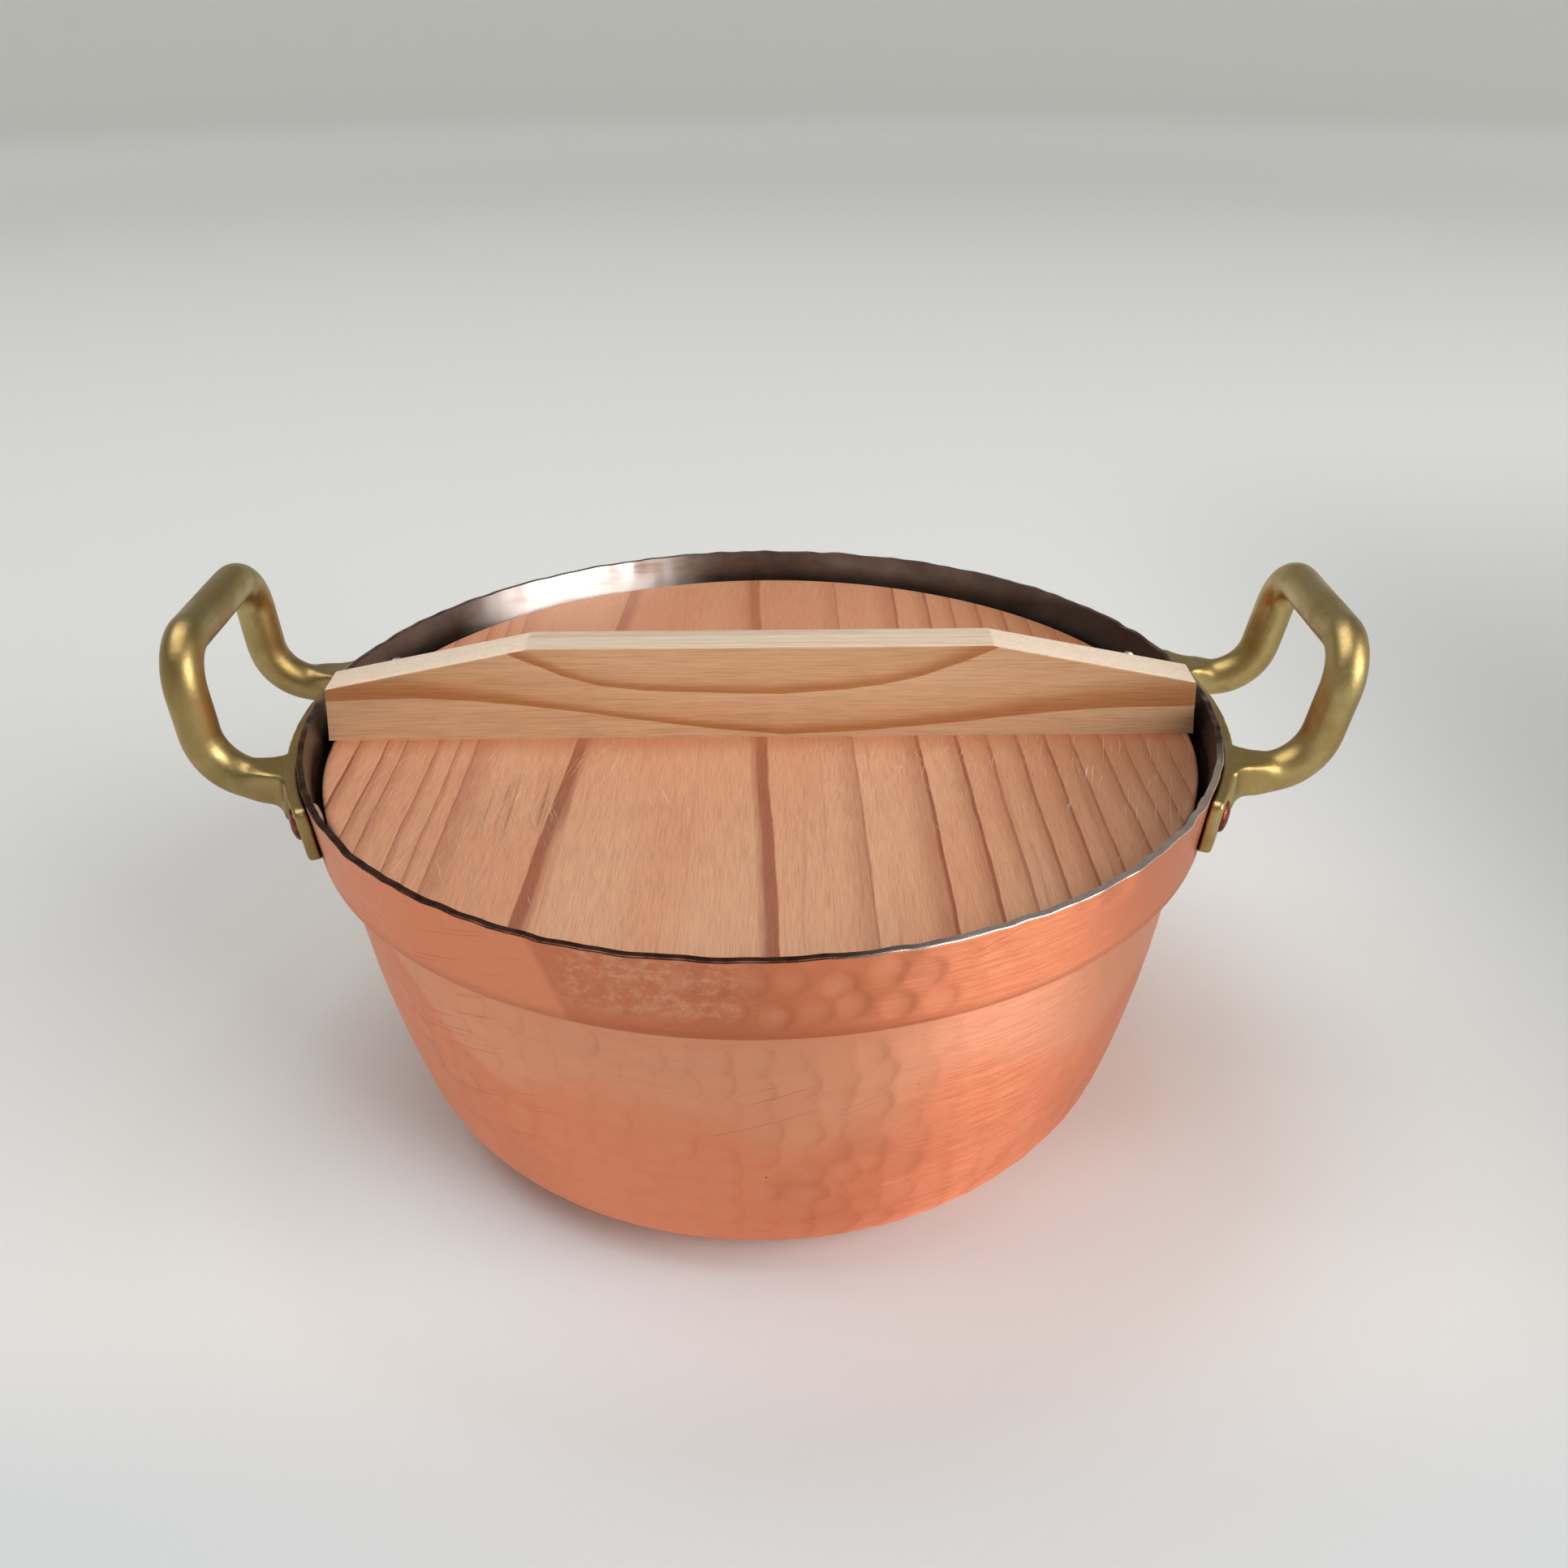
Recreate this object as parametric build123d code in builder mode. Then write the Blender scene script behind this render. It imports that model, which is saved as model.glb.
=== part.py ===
from build123d import *
from math import acos, atan2, cos, degrees, pi, radians, sin, sqrt, tan
import os

os.makedirs("parts", exist_ok=True)

# A stepped copper pot with two riveted brass loop handles and a wooden drop lid.
# Millimetres, +Z up. The origin is the middle of the base, on the table.
# +X runs through both handles and along the lid's bar.

# Copper body, outside sizes
rim_radius = 101.5
pot_height = 95.3
band_height = 19.3            # upright band between the rim and the step
band_draw_in = 2.4            # the band is this much narrower in radius at its foot
band_foot_round = 2.4
step_width = 4.2              # the bowl starts this far inside the band's foot
base_flat_radius = 58.4
base_corner_radius = 27.4
base_corner_turn = 73.4       # degrees of that round, before the wall straightens
copper_thickness = 1.3
rim_edge_round = 0.35

# Tin lining
tin_thickness = 0.2

# Brass handles
plate_length = 94.0           # measured round the band
plate_height = 12.4
plate_thickness = 2.8
plate_drop = 1.8              # top of the plate below the rim
plate_corner_round = 2.0
plate_edge_round = 0.6
rod_diameter = 8.8
root_width = 9.0
root_height = 7.2
root_drop = 0.3               # top of the root below the top of the plate
root_edge_round = 0.8
root_spacing = 52.0           # between the middles of the two roots, along the band
loop_width = 47.4             # between the middles of the two upright legs
leg_reach = 15.8              # from the rim out to the bend
leg_straight = 1.0            # round and straight before the bend
leg_bend_radius = 11.7
loop_rise = 28.0              # from the level of the roots up to the top bar
loop_lean_out = 5.2           # the top bar stands this much further out than the bend
loop_corner_radius = 9.4

# Copper rivets
rivet_offset = 39.5           # from the middle of the handle, measured round the band
rivet_diameter = 4.0
rivet_head_diameter = 7.0
rivet_head_height = 1.2
inner_head_diameter = 6.4
inner_head_height = 0.9
rivet_clearance = 0.05
head_bedding = 0.3            # a head starts this deep, and is then trimmed to the curved face

# Wooden lid
lid_thickness = 10.5
lid_side_clearance = 0.4      # between the lid and the foot of the band
lid_seat_clearance = 0.1
lid_edge_round = 1.0
bar_thickness = 10.2
bar_height = 22.1
bar_end_height = 12.7
bar_flat_length = 102.4
bar_end_lean = 3.0            # degrees from upright
bar_overhang = 0.8            # the bar's ends reach this far past the edge of the lid
bar_set_back = 1.9            # the bar stands this far behind the middle of the lid
bar_edge_round = 0.5
tenon_neck = 7.0
tenon_depth = 4.0
tenon_slope = 14.0            # degrees
tenon_clearance = 0.1

# Levels, radii and angles that follow from the sizes above
wall = copper_thickness + tin_thickness
step_z = pot_height - band_height
band_foot_radius = rim_radius - band_draw_in
bowl_top_radius = band_foot_radius - step_width
band_slope = atan2(band_draw_in, band_height)
plate_top_z = pot_height - plate_drop
plate_foot_z = plate_top_z - plate_height
plate_middle_z = plate_top_z - plate_height / 2
root_z = plate_top_z - root_drop - root_height / 2
lid_radius = band_foot_radius - wall - lid_side_clearance
lid_foot_round = band_foot_round - wall       # as the inside of the band's foot that it sits in
lid_bottom_z = step_z + wall + lid_seat_clearance
lid_top_z = lid_bottom_z + lid_thickness
bar_back = bar_set_back + bar_thickness / 2
bar_half_length = lid_radius + bar_overhang
tenon_half_length = sqrt(lid_radius**2 - bar_back**2)
overrun = 2.0                 # how far a cutting shape runs past what it cuts


def band_radius(z):
    """Outside radius of the band at height z."""
    return band_foot_radius + band_draw_in * (z - step_z) / band_height


def rivet_plane(angle):
    """Plane of a rivet, on the outside of the band and facing straight out of it."""
    out = Vector(cos(angle), sin(angle), 0)
    return Plane(
        origin=out * band_radius(plate_middle_z) + Vector(0, 0, plate_middle_z),
        x_dir=(-sin(angle), cos(angle), 0),
        z_dir=out * cos(band_slope) - Vector(0, 0, sin(band_slope)),
    )


rivet_turn = rivet_offset / rim_radius
right_rivets = {
    "rivet_right_front": rivet_plane(-rivet_turn),
    "rivet_right_rear": rivet_plane(rivet_turn),
}
left_rivets = {
    "rivet_left_front": rivet_plane(pi + rivet_turn),
    "rivet_left_rear": rivet_plane(pi - rivet_turn),
}


def drill_rivet_holes(planes):
    """Cuts holes on the given planes out of the part that is being built."""
    for plane in planes:
        with BuildSketch(plane) as hole:
            Circle(rivet_diameter / 2 + rivet_clearance)
        extrude(
            hole.sketch,
            amount=wall + plate_thickness + overrun,
            both=True,
            mode=Mode.SUBTRACT,
        )


# Outside line of the pot, as radius and height, from above the rim to the middle of the base
with BuildLine() as outside:
    FilletPolyline(
        (band_radius(pot_height + overrun), pot_height + overrun),
        (band_foot_radius, step_z),
        (bowl_top_radius, step_z),
        radius=band_foot_round,
    )
    base_corner = CenterArc(
        (base_flat_radius, base_corner_radius), base_corner_radius, -90, base_corner_turn
    )
    TangentArc(base_corner @ 1, (bowl_top_radius, step_z), tangent=base_corner % 1)
    Line((base_flat_radius, 0), (0, 0))


def wall_section(thickness):
    """Section of a wall that lies against the outside line, cut level at the rim."""
    with BuildSketch(Plane.XZ) as section:
        with BuildLine():
            add(outside.line)
            offset(amount=thickness, side=Side.RIGHT, mode=Mode.ADD)
        make_face()
        Rectangle(
            2 * rim_radius,
            pot_height,
            align=(Align.MIN, Align.MIN),
            mode=Mode.INTERSECT,
        )
    return section.sketch


# The space inside the band's outside face, which trims the handle that lies against it
with BuildPart() as band_space:
    with BuildSketch(Plane.XZ):
        with BuildLine():
            Polyline(
                (0, step_z - overrun),
                (band_radius(step_z - overrun), step_z - overrun),
                (band_radius(pot_height + overrun), pot_height + overrun),
                (0, pot_height + overrun),
                close=True,
            )
        make_face()
    revolve(axis=Axis.Z)

# Copper body, one sheet with its rim cut flat
with BuildPart() as pot_body:
    add(wall_section(copper_thickness))
    revolve(axis=Axis.Z)
    rim_edges = pot_body.edges().filter_by(GeomType.CIRCLE).group_by(Axis.Z)[-1]
    fillet(rim_edges.sort_by(SortBy.RADIUS)[-1], rim_edge_round)
    drill_rivet_holes([*right_rivets.values(), *left_rivets.values()])
pot_body.part.label = "pot_body"

# Tin lining, a skin over the whole inside of the copper
with BuildPart() as tin_lining:
    with BuildSketch(Plane.XZ):
        add(wall_section(wall))
        add(wall_section(copper_thickness), mode=Mode.SUBTRACT)
    revolve(axis=Axis.Z)
    drill_rivet_holes([*right_rivets.values(), *left_rivets.values()])
tin_lining.part.label = "tin_lining"

# Foot plate of a handle, bent to the band. Its back is trimmed with the rest of the handle.
plate_half_chord = rim_radius * sin(plate_length / 2 / rim_radius)
plate_depth = plate_thickness / cos(band_slope)
with BuildPart() as plate:
    with BuildSketch(Plane.XZ):
        with BuildLine():
            Polyline(
                (band_radius(plate_foot_z) - wall, plate_foot_z),
                (band_radius(plate_foot_z) + plate_depth, plate_foot_z),
                (band_radius(plate_top_z) + plate_depth, plate_top_z),
                (band_radius(plate_top_z) - wall, plate_top_z),
                close=True,
            )
        make_face()
    revolve(axis=Axis.Z)
    with BuildSketch(Plane.YZ.offset(plate_half_chord)):
        with Locations((0, plate_middle_z)):
            RectangleRounded(2 * plate_half_chord, plate_height, plate_corner_round)
    extrude(amount=rim_radius, mode=Mode.INTERSECT)
    outer_face = plate.faces().sort_by(Axis.X)[-1]
    fillet(outer_face.edges(), plate_edge_round)


def root_start(side):
    """Middle of a root where it meets the band. side is -1 at the front and 1 at the rear."""
    y = root_spacing / 2
    return Vector(sqrt(band_radius(root_z) ** 2 - y**2), side * y, root_z)


def bend_corner(side):
    """Where the lines of a leg and its upright part meet."""
    return Vector(rim_radius + leg_reach, side * loop_width / 2, root_z)


def loop_corner(side):
    """Where the lines of an upright part and the top bar meet."""
    return bend_corner(side) + Vector(loop_lean_out, 0, loop_rise)


def leg_start(side):
    """Where a leg becomes round, just before its bend."""
    along = (bend_corner(side) - root_start(side)).normalized()
    upright = (loop_corner(side) - bend_corner(side)).normalized()
    turn = acos(along.dot(upright))
    return bend_corner(side) - along * (leg_bend_radius * tan(turn / 2) + leg_straight)


# Handle on the right: plate, two square roots that turn round, and the loop
with BuildPart() as handle_right:
    add(plate.part)
    for side in (-1, 1):
        along = (leg_start(side) - root_start(side)).normalized()
        across = Vector(-along.Y, along.X, 0)
        with BuildSketch(Plane(origin=root_start(side), x_dir=across, z_dir=along)):
            RectangleRounded(root_width, root_height, root_edge_round)
        with BuildSketch(Plane(origin=leg_start(side), x_dir=across, z_dir=along)):
            Circle(rod_diameter / 2)
        loft()
    with BuildLine() as loop_path:
        FilletPolyline(
            leg_start(-1),
            bend_corner(-1),
            loop_corner(-1),
            loop_corner(1),
            bend_corner(1),
            leg_start(1),
            radius=[
                leg_bend_radius,
                loop_corner_radius,
                loop_corner_radius,
                leg_bend_radius,
            ],
        )
    with BuildSketch(Plane(origin=loop_path.line @ 0, z_dir=loop_path.line % 0)):
        Circle(rod_diameter / 2)
    sweep(path=loop_path.line)
    add(band_space.part, mode=Mode.SUBTRACT)
    drill_rivet_holes(right_rivets.values())
handle_right.part.label = "handle_right"

# Handle on the left, the same casting the other way round
with BuildPart() as handle_left:
    add(handle_right.part)
    mirror(about=Plane.YZ, mode=Mode.REPLACE)
handle_left.part.label = "handle_left"

# Half outline of a rivet in its own plane, as height out of the band and radius
outer_seat = plate_thickness - head_bedding
inner_seat = head_bedding - wall
outer_top = (plate_thickness + rivet_head_height, 0)
inner_top = (-wall - inner_head_height, 0)
outer_rim = (outer_seat, rivet_head_diameter / 2)
inner_rim = (inner_seat, inner_head_diameter / 2)
with BuildLine() as rivet_outline:
    TangentArc(outer_top, outer_rim, tangent=(0, 1))
    Polyline(
        outer_rim,
        (outer_seat, rivet_diameter / 2),
        (inner_seat, rivet_diameter / 2),
        inner_rim,
    )
    TangentArc(inner_top, inner_rim, tangent=(0, 1))
    Line(inner_top, outer_top)

# Copper rivets, domed outside on the plate and low inside on the tin, each bedded on what it holds
rivets = []
for handle, planes in ((handle_right, right_rivets), (handle_left, left_rivets)):
    for name, plane in planes.items():
        with BuildPart() as rivet:
            with BuildSketch(Plane(plane.origin, x_dir=plane.z_dir, z_dir=plane.x_dir)):
                with BuildLine():
                    add(rivet_outline.line)
                make_face()
            revolve(axis=Axis(plane.origin, plane.z_dir))
            for held in (pot_body, tin_lining, handle):
                add(held.part, mode=Mode.SUBTRACT)
        rivet.part.label = name
        rivets.append(rivet)


def dovetail(clearance):
    """Section of the tenon, or of its groove with a clearance, seen along the bar."""
    neck = tenon_neck / 2 + clearance
    depth = tenon_depth + clearance
    foot = neck + depth * tan(radians(tenon_slope))
    across_bar = Plane((0, bar_set_back, lid_top_z), x_dir=(0, 1, 0), z_dir=(1, 0, 0))
    with BuildSketch(across_bar) as section:
        with BuildLine():
            Polyline((-neck, 0), (-foot, -depth), (foot, -depth), (neck, 0), close=True)
        make_face()
    return section.sketch


# Round lid board, with a dovetail groove across it for the bar
with BuildPart() as lid_board:
    with BuildSketch(Plane.XY.offset(lid_bottom_z)):
        Circle(lid_radius)
    extrude(amount=lid_thickness)
    rim_and_foot = lid_board.edges().filter_by(GeomType.CIRCLE).sort_by(Axis.Z)
    fillet(rim_and_foot[-1], lid_edge_round)
    fillet(rim_and_foot[0], lid_foot_round)
    extrude(
        dovetail(tenon_clearance),
        amount=lid_radius + overrun,
        both=True,
        mode=Mode.SUBTRACT,
    )
lid_board.part.label = "lid_board"

# Bar on edge, flat in the middle and falling to both ends, with its tenon in the groove
bar_end_top = bar_half_length - bar_end_height * tan(radians(bar_end_lean))
with BuildPart() as lid_bar:
    with BuildSketch(Plane.XZ.offset(-bar_back)):
        with BuildLine():
            Polyline(
                (-bar_half_length, lid_top_z),
                (bar_half_length, lid_top_z),
                (bar_end_top, lid_top_z + bar_end_height),
                (bar_flat_length / 2, lid_top_z + bar_height),
                (-bar_flat_length / 2, lid_top_z + bar_height),
                (-bar_end_top, lid_top_z + bar_end_height),
                close=True,
            )
        make_face()
    extrude(amount=bar_thickness)
    long_edges = lid_bar.edges().filter_by(Plane.XZ)
    upper_edges = long_edges.filter_by_position(
        Axis.Z, lid_top_z + bar_end_height / 2, lid_top_z + bar_height
    )
    fillet(upper_edges, bar_edge_round)
    extrude(dovetail(0), amount=tenon_half_length, both=True)
lid_bar.part.label = "lid_bar"

for piece in [pot_body, tin_lining, handle_left, handle_right, *rivets, lid_board, lid_bar]:
    export_step(piece.part, f"parts/{piece.part.label}.step")
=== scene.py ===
"""A stepped copper pot with two brass loop handles and a wooden drop lid, round its CAD frame.

Sizes are in millimetres where a name or a docstring says so, and every mesh is built in metres.
"""

import logging
from dataclasses import dataclass, field
from enum import Enum
from functools import reduce
from math import atan2, ceil, cos, floor, hypot, pi, radians, sin, sqrt, tan
from random import Random
from typing import Callable, Iterable, Optional, Sequence, Union

import bmesh
import bpy
from mathutils import Matrix, Vector, noise
from mathutils.kdtree import KDTree

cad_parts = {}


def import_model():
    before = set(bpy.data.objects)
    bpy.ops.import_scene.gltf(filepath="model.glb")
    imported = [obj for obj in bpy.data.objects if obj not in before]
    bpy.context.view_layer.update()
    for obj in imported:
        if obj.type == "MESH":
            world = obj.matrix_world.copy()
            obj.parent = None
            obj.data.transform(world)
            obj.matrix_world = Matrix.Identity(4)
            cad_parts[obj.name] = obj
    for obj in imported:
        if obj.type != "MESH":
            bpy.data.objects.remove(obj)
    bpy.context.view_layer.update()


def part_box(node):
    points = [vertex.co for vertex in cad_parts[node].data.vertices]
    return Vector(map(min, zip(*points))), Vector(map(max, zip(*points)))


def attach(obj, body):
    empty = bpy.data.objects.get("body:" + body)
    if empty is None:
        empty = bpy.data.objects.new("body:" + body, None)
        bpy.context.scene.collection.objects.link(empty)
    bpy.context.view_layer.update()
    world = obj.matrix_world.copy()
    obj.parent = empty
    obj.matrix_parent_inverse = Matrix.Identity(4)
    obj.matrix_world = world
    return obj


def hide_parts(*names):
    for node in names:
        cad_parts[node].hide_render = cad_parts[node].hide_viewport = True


LOG = logging.getLogger("pot")
MM = 0.001
# Name of the mesh attribute that carries the hammer marks' painted shading: painted shade at each
# mark's right edge, a painted highlight in its middle.
SHADING_ATTRIBUTE = "painted_shading"

Socket = bpy.types.NodeSocket
Value = Union[float, Socket]
Colour = tuple[float, float, float]
Point2 = tuple[float, float]


class Body(Enum):
    """The rigid bodies of the frame."""

    POT = "pot"
    LID = "lid"


class Side(Enum):
    """Which side of the pot a handle or a rivet is on, as the sign of its X."""

    LEFT = -1
    RIGHT = 1


class End(Enum):
    """Which end of a handle's plate a rivet is at, as the sign of its Y."""

    FRONT = -1
    REAR = 1


def srgb(red: int, green: int, blue: int) -> Colour:
    """Turns a screen colour of 0 to 255 into the linear colour that a shader takes.

    Args:
        red: Red on the screen.
        green: Green on the screen.
        blue: Blue on the screen.

    Returns:
        The linear colour.
    """

    def linear(level: int) -> float:
        """Gives one channel's linear value."""
        share = level / 255
        return share / 12.92 if share <= 0.04045 else ((share + 0.055) / 1.055) ** 2.4

    return linear(red), linear(green), linear(blue)


def clamp(value: float, low: float = 0.0, high: float = 1.0) -> float:
    """Keeps a value between two limits."""
    return max(low, min(high, value))


def ease(value: float) -> float:
    """Turns a share of 0 to 1 into one that starts and ends smoothly."""
    share = clamp(value)
    return share * share * (3 - 2 * share)


class NodePen:
    """Draws one material's nodes, each call adding a node and giving its output socket."""

    def __init__(self, name: str) -> None:
        """Starts an empty material.

        Args:
            name: Name of the material.
        """
        self.material = bpy.data.materials.new(name)
        self.material.use_nodes = True
        self.tree = self.material.node_tree
        self.tree.nodes.clear()
        self.place = self.add("ShaderNodeTexCoord").outputs["Object"]

    def add(self, kind: str, **settings: object) -> bpy.types.Node:
        """Adds a node and sets its plain properties."""
        node = self.tree.nodes.new(kind)
        for name, value in settings.items():
            setattr(node, name, value)
        return node

    def feed(self, socket: Socket, value: object) -> None:
        """Links a socket to another, or sets its value.

        Args:
            socket: The input socket.
            value: A socket, a number or a colour.
        """
        if isinstance(value, Socket):
            self.tree.links.new(value, socket)
        elif isinstance(value, tuple) and len(value) == 3 and socket.type == "RGBA":
            socket.default_value = (*value, 1.0)
        else:
            socket.default_value = value

    def sum(self, kind: str, *values: Value) -> Socket:
        """Adds a Math node.

        Args:
            kind: The node's operation, such as MULTIPLY.
            *values: Its one to three inputs.

        Returns:
            The result.
        """
        node = self.add("ShaderNodeMath", operation=kind)
        for socket, value in zip(node.inputs, values):
            self.feed(socket, value)
        return node.outputs[0]

    def plus(self, *values: Value) -> Socket:
        """Adds two or more values."""
        return reduce(lambda total, value: self.sum("ADD", total, value), values)

    def minus(self, first: Value, second: Value) -> Socket:
        """Takes the second value from the first."""
        return self.sum("SUBTRACT", first, second)

    def times(self, *values: Value) -> Socket:
        """Multiplies two or more values."""
        return reduce(lambda total, value: self.sum("MULTIPLY", total, value), values)

    def scaled(self, stretch: Colour, turn: Colour = (0.0, 0.0, 0.0)) -> Socket:
        """Gives the place on the object, turned and then scaled along each axis.

        Args:
            stretch: Scale along X, Y and Z, per metre.
            turn: Turn about X, Y and Z, in radians.

        Returns:
            The vector to give to a texture.
        """
        turned = self.place
        if any(turn):
            swivel = self.add("ShaderNodeMapping", vector_type="POINT")
            self.feed(swivel.inputs["Vector"], turned)
            swivel.inputs["Rotation"].default_value = turn
            turned = swivel.outputs[0]
        node = self.add("ShaderNodeMapping", vector_type="POINT")
        self.feed(node.inputs["Vector"], turned)
        node.inputs["Scale"].default_value = stretch
        return node.outputs[0]

    def noise(
        self,
        vector: Socket,
        scale: float = 1.0,
        detail: float = 3.0,
        roughness: float = 0.5,
        distortion: float = 0.0,
    ) -> Socket:
        """Adds a noise texture and gives its value, of about 0.5 on average."""
        node = self.add("ShaderNodeTexNoise")
        self.feed(node.inputs["Vector"], vector)
        node.inputs["Scale"].default_value = scale
        node.inputs["Detail"].default_value = detail
        node.inputs["Roughness"].default_value = roughness
        node.inputs["Distortion"].default_value = distortion
        return node.outputs[0]

    def spots(self, vector: Socket, scale: float, spread: float = 1.0) -> Socket:
        """Adds a cell texture and gives the distance to the nearest cell's middle."""
        node = self.add("ShaderNodeTexVoronoi", feature="F1")
        self.feed(node.inputs["Vector"], vector)
        node.inputs["Scale"].default_value = scale
        node.inputs["Randomness"].default_value = spread
        return node.outputs["Distance"]

    def span(
        self, value: Value, low: Value, high: Value, to_low: float = 0.0, to_high: float = 1.0
    ) -> Socket:
        """Maps a range to another with smooth ends, and stays inside it.

        Args:
            value: The value to map.
            low: Start of its range.
            high: End of its range.
            to_low: Result at the start.
            to_high: Result at the end.

        Returns:
            The mapped value.
        """
        node = self.add("ShaderNodeMapRange", interpolation_type="SMOOTHSTEP")
        self.feed(node.inputs["Value"], value)
        self.feed(node.inputs["From Min"], low)
        self.feed(node.inputs["From Max"], high)
        node.inputs["To Min"].default_value = to_low
        node.inputs["To Max"].default_value = to_high
        return node.outputs["Result"]

    def reach(
        self, value: Value, low: float, high: float, to_low: float = 0.0, to_high: float = 1.0
    ) -> Socket:
        """Maps as span does, with the start and the end of the range in millimetres."""
        return self.span(value, low * MM, high * MM, to_low, to_high)

    def swung(self, value: Value, swing: Value) -> Socket:
        """Turns a noise of about 0.5 into a swing to both sides of zero."""
        return self.times(self.minus(value, 0.5), swing)

    def blend(self, share: Value, first: object, second: object, kind: str = "MIX") -> Socket:
        """Mixes two colours.

        Args:
            share: How much of the second shows.
            first: Colour or socket.
            second: Colour or socket.
            kind: The blend, such as MIX or MULTIPLY.

        Returns:
            The mixed colour.
        """
        node = self.add("ShaderNodeMix", data_type="RGBA", blend_type=kind)
        self.feed(node.inputs[0], share)
        self.feed(node.inputs[6], first)
        self.feed(node.inputs[7], second)
        return node.outputs[2]

    def layer(self, under: Socket, over: Colour, *shares: Value) -> Socket:
        """Lays one colour over another where all of some shares are high.

        Args:
            under: The colour so far.
            over: The colour on top.
            *shares: How much of it shows, as factors.

        Returns:
            The new colour.
        """
        return self.blend(self.times(*shares), under, over)

    def axes(self) -> tuple[Socket, Socket, Socket]:
        """Gives the place's X, Y and Z in metres."""
        node = self.add("ShaderNodeSeparateXYZ")
        self.feed(node.inputs[0], self.place)
        return node.outputs[0], node.outputs[1], node.outputs[2]

    def facing_up(self) -> Socket:
        """Gives how far the surface faces upwards, from -1 to 1."""
        geometry = self.add("ShaderNodeNewGeometry")
        node = self.add("ShaderNodeSeparateXYZ")
        self.feed(node.inputs[0], geometry.outputs["True Normal"])
        return node.outputs[2]

    def near(self, place: Colour, low: float, high: float) -> Socket:
        """Gives 1 within a short way of a place, and 0 further off.

        Args:
            place: The place, in millimetres.
            low: Distance up to which it is 1, in millimetres.
            high: Distance from which it is 0.

        Returns:
            The share.
        """
        node = self.add("ShaderNodeVectorMath", operation="DISTANCE")
        self.feed(node.inputs[0], self.place)
        node.inputs[1].default_value = [side * MM for side in place]
        return self.reach(node.outputs["Value"], high, low)

    def upright(self) -> Socket:
        """Gives the upward direction, along which wiped and brushed metal spreads its glints."""
        node = self.add("ShaderNodeCombineXYZ")
        node.inputs["Z"].default_value = 1.0
        return node.outputs[0]

    def attribute(self, name: str) -> Socket:
        """Reads a value that the mesh carries at its points."""
        return self.add("ShaderNodeAttribute", attribute_name=name).outputs["Fac"]

    def curve(self, value: Value, points: Sequence[Point2]) -> Socket:
        """Reads a curve of straight runs through some points.

        Args:
            value: Where to read it.
            points: Its points, inside 0 to 1 both ways.

        Returns:
            The curve's height there.
        """
        node = self.add("ShaderNodeFloatCurve")
        self.feed(node.inputs["Value"], value)
        line = node.mapping.curves[0]
        for place, height in points[1:-1]:
            line.points.new(place, height)
        line.points[0].location = points[0]
        line.points[-1].location = points[-1]
        for point in line.points:
            point.handle_type = "VECTOR"
        node.mapping.update()
        return node.outputs[0]

    def relief(self, height: Value, depth: float, under: Optional[Socket] = None) -> Socket:
        """Adds a bump.

        Args:
            height: Height of 0 to 1.
            depth: How deep that is, in metres.
            under: The normal of a coarser bump below it.

        Returns:
            The new normal.
        """
        node = self.add("ShaderNodeBump")
        node.inputs["Distance"].default_value = depth
        self.feed(node.inputs["Height"], height)
        if under is not None:
            self.feed(node.inputs["Normal"], under)
        return node.outputs[0]

    def finish(self, **values: object) -> bpy.types.Material:
        """Ends the material in a Principled shader.

        Args:
            **values: Its inputs by name, with _ for a space.

        Returns:
            The material.
        """
        shader = self.add("ShaderNodeBsdfPrincipled")
        for name, value in values.items():
            self.feed(shader.inputs[name.replace("_", " ")], value)
        output = self.add("ShaderNodeOutputMaterial")
        self.tree.links.new(shader.outputs[0], output.inputs[0])
        return self.material


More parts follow.
